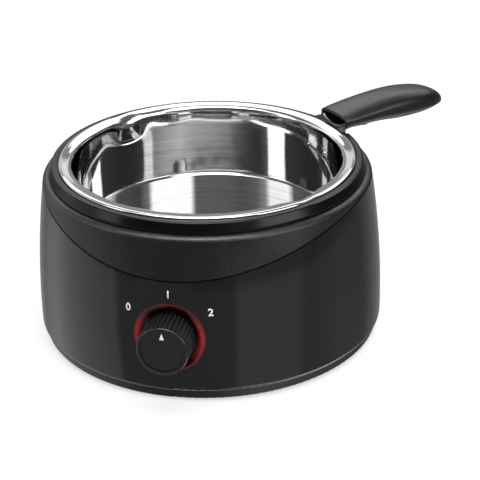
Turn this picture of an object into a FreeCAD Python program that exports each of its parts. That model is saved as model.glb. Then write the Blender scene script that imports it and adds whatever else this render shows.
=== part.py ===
import FreeCAD, Part
import math
import os
import Sketcher

# A chocolate melter with a lift-out bowl, in millimetres. The floor is z = 0, the bowl's axis is
# the Z axis and the control knob faces -Y. Pieces of the dial are drawn in a frame whose Z axis is
# the dial's axis, pointing out of the front. Pieces of the handle are drawn with +X along it.

V = FreeCAD.Vector
UP = V(0, 0, 1)

SIZES = {
    # Base and outside of the body
    "foot_z": 1.0,
    "base_t": 2.0,
    "base_in": 2.1,
    "base_edge": 0.8,
    "base_rim_top": 5.3,
    "spigot_top": 10.0,
    "spigot_t": 1.6,
    "ledge_t": 1.5,
    "body_flare": 5.6,
    "body_low_z": 8.0,
    "shoulder_w": 3.1,
    "body_high_z": 85.0,
    "body_side_arc": 470.0,
    "sleeve_t": 2.2,
    "sleeve_bottom_z": 6.0,
    "sleeve_edge": 1.0,
    "sleeve_edge_arc": 2.5,
    "fit_gap": 0.15,
    "shell_t": 2.0,
    "deck_rise": 2.2,
    "deck_t": 2.5,
    "deck_step": 2.8,
    "shoulder_in": 3.0,
    "shoulder_arc": 3.3,
    # The seam between the glossy sleeve and the textured shell
    "seam_rise": 0.2,
    "seam_drop": 27.1,
    "seam_reach": 9.0,
    "seam_start_y": 5.0,
    "seam_arc": 180.0,
    "seam_gap": 0.8,
    "lap": 6.0,
    # Screw posts, feet and vents
    "post_in": 11.8,
    "post_r": 3.6,
    "post_z": 6.0,
    "post_short": 1.0,
    "pilot_r": 1.4,
    "pilot_deep": 14.0,
    "screw_boss_r": 5.5,
    "screw_head_r": 3.0,
    "screw_head_t": 2.2,
    "slot_half": 0.4,
    "slot_t": 1.0,
    "screw_roof": 2.0,
    "screw_clear": 0.3,
    "screw_end": 1.0,
    "foot_in": 25.0,
    "foot_r": 8.0,
    "foot_sunk": 1.0,
    "foot_edge": 0.4,
    "vent_in": 28.0,
    "vent_out": 50.0,
    "vent_w": 4.0,
    # Seat ring under the bowl's rim
    "hem_room": 0.5,
    "collar_w": 4.7,
    "collar_top_w": 2.6,
    "collar_gap": 0.5,
    "collar_lip": 1.1,
    "collar_over": 0.8,
    "collar_edge": 0.8,
    "collar_foot": 0.8,
    "seat_drop": 1.5,
    "seat_w": 2.5,
    "seat_bevel": 1.0,
    # Heated well and what hangs under it
    "seat_step": 0.4,
    "well_t": 1.0,
    "flange_w": 4.0,
    "well_room": 1.7,
    "well_corner": 7.0,
    "heater_r": 50.0,
    "heater_t": 1.0,
    "heater_edge": 2.0,
    "pad_t": 2.0,
    "clamp_t": 1.0,
    "stud_ring": 34.0,
    "stud_r": 2.0,
    "stud_clear": 0.2,
    "stud_out": 1.5,
    "clamp_nut_t": 3.0,
    "clamp_nut_r": 3.8,
    "thermostat_r": 8.0,
    "thermostat_t": 9.0,
    "thermostat_ear": 15.0,
    "ear_half": 4.0,
    "ear_hole_in": 3.5,
    "small_head_r": 2.6,
    "small_head_t": 1.6,
    "fuse_y": 22.0,
    "fuse_r": 2.0,
    "fuse_len": 14.0,
    "clip_t": 0.8,
    "clip_half": 3.0,
    "clip_foot": 6.0,
    # Dial, knob and switch, measured out from the bowl's axis
    "dial_z": 35.4,
    "bezel_r": 18.15,
    "bezel_in_r": 13.5,
    "dish_deep": 3.6,
    "dish_rise": 3.0,
    "bezel_floor_t": 2.0,
    "bezel_t": 4.4,
    "bezel_flange_r": 21.5,
    "bezel_lip": 0.7,
    "nut_room_r": 9.5,
    "knob_r": 12.75,
    "knob_out": 16.5,
    "knob_gap": 0.6,
    "knob_wall": 1.8,
    "knob_web": 4.0,
    "knob_edge": 0.8,
    "flute_r": 0.75,
    "flute_end": 1.2,
    "cap_r": 10.6,
    "cap_sunk": 0.5,
    "cap_t": 1.0,
    "shaft_r": 3.0,
    "shaft_flat": 2.1,
    "shaft_fit": 0.05,
    "shaft_short": 4.9,
    "shaft_deep": 11.0,
    "hub_r": 5.0,
    "hub_in": 1.0,
    "clip_up": 2.2,
    "clip_len": 3.4,
    "board_r": 18.0,
    "board_t": 1.4,
    "lamp_ring": 13.2,
    "lamp_r": 1.6,
    "lamp_len": 3.4,
    "bracket_t": 1.5,
    "bracket_end": 4.5,
    "bracket_h": 22.0,
    "bracket_corner": 4.0,
    "bracket_pitch": 25.5,
    "ear_boss_r": 3.0,
    "ear_boss_deep": 4.3,
    "switch_w": 26.0,
    "switch_len": 20.0,
    "bush_r": 4.5,
    "bush_out": 3.4,
    "bush_gap": 0.4,
    "switch_nut_r": 8.0,
    "switch_nut_t": 2.2,
    "blade_w": 6.3,
    "blade_t": 0.8,
    "blade_len": 8.0,
    # Cord inlet and terminal block at the back
    "inlet_z": 20.0,
    "inlet_r": 6.0,
    "inlet_bore": 3.4,
    "inlet_lip": 1.8,
    "inlet_deep": 9.0,
    "inlet_grip": 0.6,
    "inlet_lip_r": 8.0,
    "inlet_edge": 1.0,
    "block_x": 18.0,
    "block_y": 48.0,
    "block_w": 30.0,
    "block_d": 16.0,
    "block_h": 13.0,
    "block_cell": 2.4,
    "block_floor": 2.0,
    "block_screw_r": 2.0,
    "lead_r": 1.0,
    # Bowl
    "bowl_t": 0.7,
    "bowl_floor_z": 54.0,
    "bowl_wall_r": 68.3,
    "bowl_corner": 5.0,
    "mouth_out": 1.5,
    "mouth_drop": 2.1,
    "rim_turn": 1.8,
    "rim_rise": 6.3,
    "rim_w": 3.8,
    "rim_bend": 2.0,
    "rim_crown": 0.35,
    "hem_w": 1.7,
    "hem_drop": 1.2,
    "lip_turn": 6.5,
    "lip_back": 0.8,
    "lip_edge": 0.7,
    "lip_a_w": 8.9,
    "lip_b_w": 4.2,
    "lip_a_deep": 3.2,
    "lip_b_deep": 0.4,
    # Handle and its bracket
    "handle_angle": 44.0,
    "leg_t": 1.5,
    "leg_low_z": 74.0,
    "leg_w": 9.0,
    "shelf_w": 11.0,
    "ear_t": 1.5,
    "ear_clear": 0.4,
    "ear_w": 15.2,
    "ear_rise": 0.9,
    "ear_gap": 0.4,
    "flare_len": 3.2,
    "trough_w": 9.8,
    "trough_rise": 0.3,
    "trough_deep": 3.4,
    "trough_len": 13.0,
    "tongue_len": 10.3,
    "tongue_w": 7.0,
    "handle_over": 0.2,
    "handle_len": 73.7,
    "handle_w": 12.6,
    "handle_h": 14.58,
    "handle_rise": 10.5,
    "cavity_len": 14.0,
    "cavity_wall": 1.6,
    "cavity_arch": 1.7,
    "grip_bite": 5.0,
    "handle_screw_in": 4.5,
}

# Sizes that follow from others, so that the pieces stay fitted to one another
LINKS = {
    "bowl_floor_r": "bowl_wall_r - bowl_corner",
    "bowl_wall_z": "bowl_floor_z + bowl_corner",
    "mouth_r": "bowl_wall_r + mouth_out",
    "rim_in_r": "mouth_r + rim_turn",
    "hem_in_r": "rim_in_r + rim_w",
    "hem_r": "hem_in_r + hem_w",
    "lip_a": "mouth_r - lip_back",
    "lip_b": "hem_r - lip_edge",
    "seat_r": "hem_r - seat_w",
    "collar_in_r": "hem_r + hem_room",
    "collar_top_r": "collar_in_r + collar_top_w",
    "collar_r": "collar_in_r + collar_w",
    "well_r": "seat_r - seat_step",
    "deck_r": "well_r + deck_step",
    "well_flange_r": "deck_r + flange_w",
    "pad_r": "heater_r - heater_edge",
    "clamp_r": "pad_r - heater_edge",
    "body_high_r": "collar_r + shoulder_w",
    "body_low_r": "body_high_r + body_flare",
    "base_r": "body_low_r - base_in",
    "post_ring": "body_low_r - post_in",
    "foot_ring": "body_low_r - foot_in",
    "deck_z": "body_high_z + deck_rise",
    "seam_z": "body_high_z + seam_rise",
    "seam_front_z": "seam_z - seam_drop",
    "seam_front_y": "body_low_r + seam_reach",
    "rim_z": "deck_z + rim_rise",
    "mouth_z": "rim_z - mouth_drop",
    "hem_low_z": "rim_z - hem_drop",
    "lip_a_z": "rim_z - lip_a_deep",
    "lip_b_z": "rim_z - lip_b_deep",
    "seat_z": "rim_z - seat_drop",
    "collar_low_z": "deck_z + collar_gap",
    "collar_lip_z": "collar_low_z + collar_lip",
    "collar_top_z": "seat_z + collar_over",
    "well_floor_z": "bowl_floor_z - well_room",
    "bezel_floor": "body_low_r - dish_deep",
    "bezel_back": "bezel_floor - bezel_t",
    "knob_face": "bezel_floor + knob_out",
    "shaft_tip": "knob_face - shaft_short",
    "clip_low": "bezel_floor + clip_up",
    "clip_high": "clip_low + clip_len",
    "bush_front": "bezel_back + bush_out",
    "inlet_y": "body_low_r - inlet_deep",
    "ear_root": "hem_r + ear_clear",
    "ear_mid_z": "hem_low_z - ear_gap",
    "ear_edge_z": "ear_mid_z + ear_rise",
    "trough_start": "ear_root + flare_len",
    "trough_mid_z": "ear_mid_z + trough_rise",
    "trough_edge_z": "trough_mid_z + trough_deep",
    "tongue_start": "trough_start + trough_len",
    "tongue_end": "tongue_start + tongue_len",
    "handle_start": "trough_start - handle_over",
    "handle_top": "rim_z + handle_rise",
    "cavity_end": "handle_start + cavity_len",
    "handle_screw_x": "tongue_end - handle_screw_in",
}


class Size:
    """A length with the sheet expression that it comes from."""

    def __init__(self, value, text):
        self.value = float(value)
        self.text = text

    def __float__(self):
        return self.value

    def __neg__(self):
        return Size(-self.value, f"(-1 * {self.text})")

    def __add__(self, other):
        other = size(other)
        return Size(self.value + other.value, f"({self.text} + {other.text})")

    def __sub__(self, other):
        other = size(other)
        return Size(self.value - other.value, f"({self.text} - {other.text})")

    def __mul__(self, other):
        other = size(other)
        return Size(self.value * other.value, f"({self.text} * {other.text})")

    def __truediv__(self, other):
        other = size(other)
        return Size(self.value / other.value, f"({self.text} / {other.text})")


def size(item):
    """Take a plain number or a Size as a Size."""
    if isinstance(item, Size):
        return item
    return Size(item, f"({item})")


def root(item):
    """The square root of a size."""
    return Size(math.sqrt(item.value), f"sqrt({item.text})")


doc = FreeCAD.newDocument("chocolate_melter")
sheet = doc.addObject("Spreadsheet::Sheet", "Sizes")
cells = {name: str(value) for name, value in SIZES.items()}
cells.update({name: f"={text}" for name, text in LINKS.items()})
for row, name in enumerate(cells, 1):
    sheet.set(f"A{row}", name)
    sheet.setAlias(f"B{row}", name)
for row, text in enumerate(cells.values(), 1):
    sheet.set(f"B{row}", text)
doc.recompute()
VALUES = {name: float(sheet.get(name)) for name in cells}


class Names:
    """The sheet's sizes by name."""

    def __getattr__(self, name):
        return Size(VALUES[name], f"Sizes.{name}")


S = Names()
parts = []


def bind(item, path, value):
    """Tie a property of an object to the sheet."""
    item.setExpression(path, size(value).text)


def place(item, z=0, turn=0):
    """Stand a piece at a height and turned about Z by a size in degrees."""
    item.Placement = FreeCAD.Placement(V(0, 0, float(z)), FreeCAD.Rotation(UP, float(turn)))
    bind(item, "Placement.Base.z", z)
    if isinstance(turn, Size):
        bind(item, "Placement.Rotation.Angle", turn)


def face_front(item):
    """Turn a piece drawn along Z so that it looks out of the front at the dial's height."""
    item.Placement = FreeCAD.Placement(V(0, 0, VALUES["dial_z"]), FreeCAD.Rotation(V(1, 0, 0), 90))
    bind(item, "Placement.Base.z", S.dial_z)


def node(item, label):
    """Name a finished piece, so that it is checked and written."""
    item.Label = label
    parts.append(item)
    return item


def body(label, turn=0, dial=False, many=False):
    """Start a solid piece."""
    item = doc.addObject("PartDesign::Body", label)
    item.AllowCompound = many
    if dial:
        face_front(item)
    elif isinstance(turn, Size):
        place(item, 0, turn)
    return node(item, label)


def origin(owner, role):
    """One of a body's own origin planes or axes."""
    return next(item for item in owner.Origin.OriginFeatures if item.Role == role)


def sketch(owner, role, height=0, turn=0, rise=0):
    """Start a sketch on an origin plane, raised along its normal, turned, or moved up it."""
    item = owner.newObject("Sketcher::SketchObject", "Sketch")
    item.AttachmentSupport = [(origin(owner, role), "")]
    item.MapMode = "FlatFace"
    at = V(0, float(rise), float(height))
    item.AttachmentOffset = FreeCAD.Placement(at, FreeCAD.Rotation(UP, turn))
    bind(item, "AttachmentOffset.Base.z", height)
    bind(item, "AttachmentOffset.Base.y", rise)
    return item


def fix(item, geo, spot, x, y):
    """Hold one point of a sketch at its place."""
    for kind, value, axis in (("DistanceX", size(x), -2), ("DistanceY", size(y), -1)):
        if value.value == 0:
            item.addConstraint(Sketcher.Constraint("PointOnObject", geo, spot, axis))
        else:
            item.addConstraint(Sketcher.Constraint(kind, geo, spot, value.value))
            bind(item, f"Constraints[{item.ConstraintCount - 1}]", value)


def outline(item, points):
    """Draw a closed outline. A point (x, y, radius) ends an arc, left-turning if positive."""
    first = item.GeometryCount
    ends = []
    arcs = []
    for index, point in enumerate(points):
        before = points[index - 1]
        p = V(float(before[0]), float(before[1]))
        q = V(float(point[0]), float(point[1]))
        if len(point) == 2:
            item.addGeometry(Part.LineSegment(p, q))
            ends.append((1, 2))
            continue
        radius = size(point[2])
        chord = q - p
        left = V(-chord.y, chord.x).normalize()
        reach = math.sqrt(max(radius.value ** 2 - chord.Length ** 2 / 4, 0))
        centre = (p + q) / 2 + left * math.copysign(reach, radius.value)
        start, stop = (p, q) if radius.value > 0 else (q, p)
        angles = [math.atan2(spot.y - centre.y, spot.x - centre.x) for spot in (start, stop)]
        circle = Part.Circle(centre, UP, abs(radius.value))
        item.addGeometry(Part.ArcOfCircle(circle, *angles))
        ends.append((1, 2) if radius.value > 0 else (2, 1))
        arcs.append((first + index, radius if radius.value > 0 else -radius))
    count = len(points)
    for index in range(count):
        after = (index + 1) % count
        join = (first + index, ends[index][1], first + after, ends[after][0])
        item.addConstraint(Sketcher.Constraint("Coincident", *join))
    for index in range(count):
        x, y = points[index][:2]
        fix(item, first + index, ends[index][1], x, y)
    for geo, radius in arcs:
        item.addConstraint(Sketcher.Constraint("Radius", geo, radius.value))
        bind(item, f"Constraints[{item.ConstraintCount - 1}]", radius)
    return item


def circle(item, x, y, radius):
    """Draw a circle."""
    centre = V(float(x), float(y))
    geo = item.addGeometry(Part.Circle(centre, UP, float(radius)))
    fix(item, geo, 3, x, y)
    item.addConstraint(Sketcher.Constraint("Radius", geo, float(radius)))
    bind(item, f"Constraints[{item.ConstraintCount - 1}]", radius)
    return item


def box(item, x0, x1, y0, y1):
    """Draw a rectangle."""
    return outline(item, [(x0, y0), (x1, y0), (x1, y1), (x0, y1)])


def spin(owner, profile, cut=False, axis="V_Axis", angle=360, middle=False):
    """Turn a profile into a round solid, or cut it away."""
    kind = "Groove" if cut else "Revolution"
    item = owner.newObject(f"PartDesign::{kind}", kind)
    item.Profile = profile
    item.ReferenceAxis = (profile, [axis])
    item.Angle = float(angle)
    item.Midplane = middle
    return item


def pad(owner, profile, length, cut=False, back=False, middle=False, through=False):
    """Push a profile out into a solid, or cut it away."""
    kind = "Pocket" if cut else "Pad"
    item = owner.newObject(f"PartDesign::{kind}", kind)
    item.Profile = profile
    if through:
        item.Type = "ThroughAll"
    else:
        item.Length = float(length)
        bind(item, "Length", length)
    item.Reversed = back
    item.Midplane = middle
    return item


def ring_of(owner, features, count, axis="Z_Axis"):
    """Repeat features round an origin axis."""
    item = owner.newObject("PartDesign::PolarPattern", "PolarPattern")
    item.Originals = features
    item.Axis = (origin(owner, axis), [""])
    item.Occurrences = count
    item.Angle = 360
    owner.Tip = item
    return item


def mirror(owner, features, role):
    """Repeat features on the other side of an origin plane."""
    item = owner.newObject("PartDesign::Mirrored", "Mirrored")
    item.Originals = features
    item.MirrorPlane = (origin(owner, role), [""])
    owner.Tip = item
    return item


def cylinder(radius, low, high, x=0, y=0):
    """A plain round bar along Z."""
    item = doc.addObject("Part::Cylinder", "Cylinder")
    for path, value in (("Radius", radius), ("Height", size(high) - low)):
        setattr(item, path, float(value))
        bind(item, path, value)
    item.Placement.Base = V(float(x), float(y), float(low))
    for path, value in (("x", x), ("y", y), ("z", low)):
        bind(item, f"Placement.Base.{path}", value)
    return item


def block(x, y, z):
    """A plain box between two corners, given as (low, high) for each way."""
    item = doc.addObject("Part::Box", "Box")
    item.Placement.Base = V(float(x[0]), float(y[0]), float(z[0]))
    for path, axis, pair in (("Length", "x", x), ("Width", "y", y), ("Height", "z", z)):
        value = size(pair[1]) - pair[0]
        setattr(item, path, float(value))
        bind(item, path, value)
        bind(item, f"Placement.Base.{axis}", pair[0])
    return item


def fuse(*items):
    """Join solids into one."""
    item = doc.addObject("Part::MultiFuse", "Fuse")
    item.Shapes = list(items)
    return item


def cut(base, *tools):
    """Cut solids away from a solid."""
    for tool in tools:
        item = doc.addObject("Part::Cut", "Cut")
        item.Base = base
        item.Tool = tool
        base = item
    return base


def driver_slot(reach, under):
    """What a screwdriver's slot takes out of the underside of a head."""
    return block((-reach, reach), (-S.slot_half, S.slot_half), (under, under + S.slot_t))


def copies(label, model, places):
    """A group of like solids: copies of one model at several places."""
    doc.recompute()
    item = doc.addObject("Part::Feature", label)
    solids = [model.Shape.transformed(where.toMatrix()) for where in places]
    item.Shape = Part.makeCompound(solids)
    return node(item, label)


def around(radius, start, count, rise=0):
    """Places evenly spaced round the Z axis, each turned to face away from it."""
    turns = [FreeCAD.Rotation(UP, start + 360 / count * step) for step in range(count)]
    return [FreeCAD.Placement(turn.multVec(V(float(radius), 0, float(rise))), turn) for turn in turns]


def side(inset):
    """The body's side, from bottom to top, moved in by a distance: its two ends and its arc."""
    low = (S.body_low_r - inset, S.body_low_z)
    high = (S.body_high_r - inset, S.body_high_z)
    return low, high, S.body_side_arc


def wall(owner, outer, inner):
    """A full-height wall that follows the body's side between two insets."""
    low, high, arc = side(outer)
    in_low, in_high, arc = side(inner)
    profile = sketch(owner, "XZ_Plane")
    outline(profile, [(*in_low, -arc), low, (*high, arc), in_high])
    return spin(owner, profile)


def seam_cut(owner, shift, above):
    """Cut away what lies above, or below, the seam line moved up by a shift."""
    profile = sketch(owner, "YZ_Plane")
    far = S.seam_front_y
    limit = S.seam_z + far if above else -far
    front = (-far, S.seam_front_z + shift)
    start = (-S.seam_start_y, S.seam_z + shift)
    points = [front, (*start, -S.seam_arc), (far, S.seam_z + shift), (far, limit), (-far, limit)]
    outline(profile, points)
    return pad(owner, profile, S.body_low_r * 3, cut=True, middle=True)


# Outside of the body

def make_base_plate():
    """Moulded pan with a spigot for the sleeve, screw bosses, foot recesses and vents."""
    item = body("base_plate")
    floor_top = S.foot_z + S.base_t
    spigot_r = S.body_low_r - S.sleeve_t - S.fit_gap
    edge = S.base_edge
    profile = sketch(item, "XZ_Plane")
    outline(profile, [
        (0, S.foot_z), (S.base_r - edge, S.foot_z), (S.base_r, S.foot_z + edge, edge),
        (S.base_r, S.base_rim_top), (spigot_r, S.base_rim_top), (spigot_r, S.spigot_top),
        (spigot_r - S.spigot_t, S.spigot_top), (spigot_r - S.spigot_t, floor_top), (0, floor_top),
    ])
    spin(item, profile)
    boss = circle(sketch(item, "XY_Plane", S.foot_z, 45), S.post_ring, 0, S.screw_boss_r)
    boss = pad(item, boss, S.post_z - S.foot_z)
    ring_of(item, [boss], 4)
    head_r = S.screw_head_r + S.screw_clear
    roof = S.post_z - S.screw_roof
    well = circle(sketch(item, "XY_Plane", S.foot_z, 45), S.post_ring, 0, head_r)
    well = pad(item, well, roof - S.foot_z, cut=True, back=True)
    hole = circle(sketch(item, "XY_Plane", S.foot_z, 45), S.post_ring, 0, S.pilot_r + S.screw_clear)
    hole = pad(item, hole, 0, cut=True, back=True, through=True)
    ring_of(item, [well, hole], 4)
    seat = circle(sketch(item, "XY_Plane", S.foot_z), S.foot_ring, 0, S.foot_r + S.fit_gap)
    seat = pad(item, seat, S.foot_sunk, cut=True, back=True)
    ring_of(item, [seat], 4)
    half = S.vent_w / 2
    slot = outline(sketch(item, "XY_Plane", S.foot_z), [
        (S.vent_in, -half, half), (S.vent_out, -half), (S.vent_out + half, 0, half),
        (S.vent_out, half, half), (S.vent_in, half), (S.vent_in - half, 0, half),
    ])
    slot = pad(item, slot, 0, cut=True, back=True, through=True)
    ring_of(item, [slot], 12)
    return item


def make_feet():
    """Four rubber pads let into the base plate."""
    foot = cylinder(S.foot_r, 0, S.foot_z + S.foot_sunk)
    soft = doc.addObject("Part::Chamfer", "FootEdge")
    doc.recompute()
    soft.Base = foot
    lowest = min(range(len(foot.Shape.Edges)), key=lambda i: foot.Shape.Edges[i].CenterOfMass.z)
    edge = VALUES["foot_edge"]
    soft.Edges = [(lowest + 1, edge, edge)]
    return copies("rubber_feet", soft, around(S.foot_ring, 0, 4))


def make_base_screws():
    """Four screws from under the base into the shell's posts."""
    roof = S.post_z - S.screw_roof
    head = cylinder(S.screw_head_r, roof - S.screw_head_t, roof)
    shank = cylinder(S.pilot_r, roof, S.post_z + S.pilot_deep - S.screw_end)
    recess = driver_slot(S.pilot_r, roof - S.screw_head_t)
    return copies("base_screws", cut(fuse(head, shank), recess), around(S.post_ring, 45, 4))


def make_outer_sleeve():
    """Glossy band: a thin wall with a falling top edge, a dial hole and a cord hole."""
    item = body("outer_sleeve")
    (low_r, low_z), (high_r, high_z), arc = side(0)
    in_low, in_high, arc = side(S.sleeve_t)
    ledge_r = in_low[0] - S.spigot_t
    ledge_top = S.spigot_top + S.ledge_t
    profile = sketch(item, "XZ_Plane")
    outline(profile, [
        (low_r - S.sleeve_edge, S.sleeve_bottom_z), (low_r, low_z, S.sleeve_edge_arc),
        (high_r, high_z, arc), in_high, (in_low[0], ledge_top, -arc),
        (ledge_r, ledge_top), (ledge_r, S.spigot_top), (in_low[0], S.spigot_top),
        (in_low[0], S.sleeve_bottom_z),
    ])
    spin(item, profile)
    seam_cut(item, -(S.seam_gap / 2), above=True)
    hole = circle(sketch(item, "XZ_Plane"), 0, S.dial_z, S.bezel_r + S.fit_gap)
    pad(item, hole, 0, cut=True, back=True, through=True)
    gland = circle(sketch(item, "XZ_Plane"), 0, S.inlet_z, S.inlet_r + S.fit_gap)
    pad(item, gland, 0, cut=True, through=True)
    face = S.bezel_back - S.board_t
    ear = circle(sketch(item, "XZ_Plane", face), S.bracket_pitch, S.dial_z, S.ear_boss_r)
    ear = pad(item, ear, S.ear_boss_deep)
    pilot = circle(sketch(item, "XZ_Plane", face), S.bracket_pitch, S.dial_z, S.pilot_r)
    pilot = pad(item, pilot, S.ear_boss_deep - S.screw_end, cut=True, back=True)
    mirror(item, [ear, pilot], "YZ_Plane")
    return item


def make_upper_shell():
    """Textured housing above the seam, lapped inside the sleeve, with four screw posts."""
    item = body("upper_shell")
    inner = S.sleeve_t + S.fit_gap
    low, high, arc = side(0)
    in_low, in_high, arc = side(inner + S.shell_t / 2)
    profile = sketch(item, "XZ_Plane")
    under = S.deck_z - S.deck_t
    outline(profile, [
        (*in_low, -arc), low, (*high, arc),
        (high[0] - S.shoulder_in, S.deck_z, S.shoulder_arc),
        (S.deck_r, S.deck_z), (S.deck_r, under), (in_high[0], under), in_high,
    ])
    spin(item, profile)
    seam_cut(item, S.seam_gap / 2, above=False)
    wall(item, inner, inner + S.shell_t)
    seam_cut(item, -(S.seam_gap / 2 + S.lap), above=False)
    post = circle(sketch(item, "XY_Plane", S.post_z, 45), S.post_ring, 0, S.post_r)
    post = pad(item, post, S.deck_z - S.post_short - S.post_z)
    pilot = circle(sketch(item, "XY_Plane", S.post_z, 45), S.post_ring, 0, S.pilot_r)
    pilot = pad(item, pilot, S.pilot_deep, cut=True, back=True)
    ring_of(item, [post, pilot], 4)
    return item


def make_seat_collar():
    """Ring that the bowl's rim stands on, notched for the handle's bracket."""
    item = body("seat_collar", turn=S.handle_angle)
    flange_top = S.deck_z + S.well_t
    foot_in = S.well_flange_r + S.fit_gap
    foot_out = foot_in + S.collar_foot
    half_edge = S.collar_edge / 2
    profile = sketch(item, "XZ_Plane")
    outline(profile, [
        (S.seat_r, flange_top), (foot_in, flange_top), (foot_in, S.deck_z), (foot_out, S.deck_z),
        (foot_out, S.collar_low_z), (S.collar_r, S.collar_low_z), (S.collar_r, S.collar_lip_z),
        (S.collar_top_r + half_edge, S.collar_top_z - half_edge),
        (S.collar_top_r - half_edge, S.collar_top_z, S.collar_edge), (S.collar_in_r, S.collar_top_z),
        (S.collar_in_r, S.seat_z), (S.seat_r + S.seat_bevel, S.seat_z),
        (S.seat_r, S.seat_z - S.seat_bevel),
    ])
    spin(item, profile)
    half = S.ear_w + S.ear_gap * 1.5
    floor = S.ear_mid_z - S.ear_t - S.ear_gap
    notch = box(sketch(item, "YZ_Plane"), -half, half, floor, S.collar_top_z + 1)
    pad(item, notch, S.collar_r * 1.2, cut=True, back=True)
    return item


def trough_arc(half_width, depth):
    """Radius of the shallow arc with this half width and depth."""
    return (half_width * half_width + depth * depth) / (depth * 2)


# Heated well and heater

def make_heating_well():
    """Pressed aluminium cup, hung by its flange from the shell's deck."""
    item = body("heating_well")
    outer = S.well_r + S.well_t
    under = S.well_floor_z - S.well_t
    corner = S.well_corner
    top = S.deck_z + S.well_t
    profile = sketch(item, "XZ_Plane")
    outline(profile, [
        (0, under), (outer - corner, under), (outer, under + corner, corner), (outer, S.deck_z),
        (S.well_flange_r, S.deck_z), (S.well_flange_r, top), (S.well_r, top),
        (S.well_r, under + corner), (outer - corner, S.well_floor_z, -(corner - S.well_t)),
        (0, S.well_floor_z),
    ])
    spin(item, profile)
    return item


def heater_stack():
    """Heights under the well's floor, from the top down."""
    z = S.well_floor_z - S.well_t
    levels = [z]
    for thickness in (S.heater_t, S.pad_t, S.clamp_t, S.clamp_nut_t):
        z = z - thickness
        levels.append(z)
    return levels


def disc(label, radius, low, high):
    """A disc under the well, drilled for the studs."""
    plate = cylinder(radius, low, high)
    spots = around(S.stud_ring, 90, 3)
    holes = []
    for index in range(3):
        hole = cylinder(S.stud_r + S.stud_clear, low - 1, high + 1)
        x = S.stud_ring * round(math.cos(math.radians(90 + 120 * index)), 6)
        y = S.stud_ring * round(math.sin(math.radians(90 + 120 * index)), 6)
        hole.Placement.Base = V(spots[index].Base.x, spots[index].Base.y, float(low) - 1)
        bind(hole, "Placement.Base.x", x)
        bind(hole, "Placement.Base.y", y)
        holes.append(hole)
    return node(cut(plate, *holes), label)


def hexagon(radius, low, high, bore):
    """A hexagonal nut with its bore."""
    nut = doc.addObject("Part::Prism", "Prism")
    nut.Polygon = 6
    nut.Circumradius = float(radius)
    nut.Height = float(high - low)
    nut.Placement.Base = V(0, 0, float(low))
    bind(nut, "Circumradius", radius)
    bind(nut, "Height", high - low)
    bind(nut, "Placement.Base.z", low)
    return cut(nut, cylinder(bore, low - 1, high + 1))


def make_heater():
    """Studs, mica heater, insulation, clamp plate and nuts."""
    top, heater_low, pad_low, clamp_low, nut_low = heater_stack()
    studs = around(S.stud_ring, 90, 3)
    copies("well_studs", cylinder(S.stud_r, nut_low - S.stud_out, top), studs)
    disc("mica_heater", S.heater_r, heater_low, top)
    disc("insulation_pad", S.pad_r, pad_low, heater_low)
    disc("clamp_plate", S.clamp_r, clamp_low, pad_low)
    copies("clamp_nuts", hexagon(S.clamp_nut_r, nut_low, clamp_low, S.stud_r + S.shaft_fit), studs)


def make_thermostat():
    """Disc thermostat on the clamp plate, with its ears, screws and two blades."""
    clamp_low = heater_stack()[3]
    low = clamp_low - S.thermostat_t
    can = cylinder(S.thermostat_r, low, clamp_low)
    ear = block((-S.thermostat_ear, S.thermostat_ear), (-S.ear_half, S.ear_half),
                (clamp_low - S.clip_t, clamp_low))
    thick = S.blade_t / 2
    blades = [block((x - thick, x + thick), (-S.blade_w / 2, S.blade_w / 2), (low - S.blade_len, low))
              for x in (S.thermostat_r / 2, -(S.thermostat_r / 2))]
    whole = fuse(can, ear, *blades)
    gap = S.thermostat_ear - S.ear_hole_in
    for x in (gap, -gap):
        whole = cut(whole, cylinder(S.pilot_r + S.fit_gap, clamp_low - S.clip_t * 2, clamp_low + 1, x))
    node(whole, "thermostat")
    under = clamp_low - S.clip_t
    head = cylinder(S.small_head_r, under - S.small_head_t, under)
    screw = fuse(head, cylinder(S.pilot_r, under, clamp_low))
    copies("thermostat_screws", screw, around(gap, 0, 2))


def make_thermal_fuse():
    """Fuse in its sleeve, held against the clamp plate by a bent strip."""
    clamp_low = heater_stack()[3]
    axis_z = clamp_low - S.fuse_r
    fuse_bar = cylinder(S.fuse_r, -S.fuse_len / 2, S.fuse_len / 2)
    fuse_bar.Placement = FreeCAD.Placement(
        V(-VALUES["fuse_len"] / 2, -VALUES["fuse_y"], float(axis_z)), FreeCAD.Rotation(V(0, 1, 0), 90))
    bind(fuse_bar, "Placement.Base.x", -S.fuse_len / 2)
    bind(fuse_bar, "Placement.Base.y", -S.fuse_y)
    bind(fuse_bar, "Placement.Base.z", axis_z)
    node(fuse_bar, "thermal_fuse")
    reach = S.fuse_r + S.shaft_fit
    drop = clamp_low - S.fuse_r * 2 - S.shaft_fit
    y = -S.fuse_y
    wide = (-S.clip_half, S.clip_half)
    bridge = block(wide, (y - reach - S.clip_t, y + reach + S.clip_t), (drop - S.clip_t, clamp_low))
    foot = block(wide, (y - reach - S.clip_foot, y - reach), (clamp_low - S.clip_t, clamp_low))
    hollow = block((-S.clip_foot, S.clip_foot), (y - reach, y + reach), (drop, clamp_low + 1))
    node(cut(fuse(bridge, foot), hollow), "fuse_clip")


# Dial, knob and switch

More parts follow.
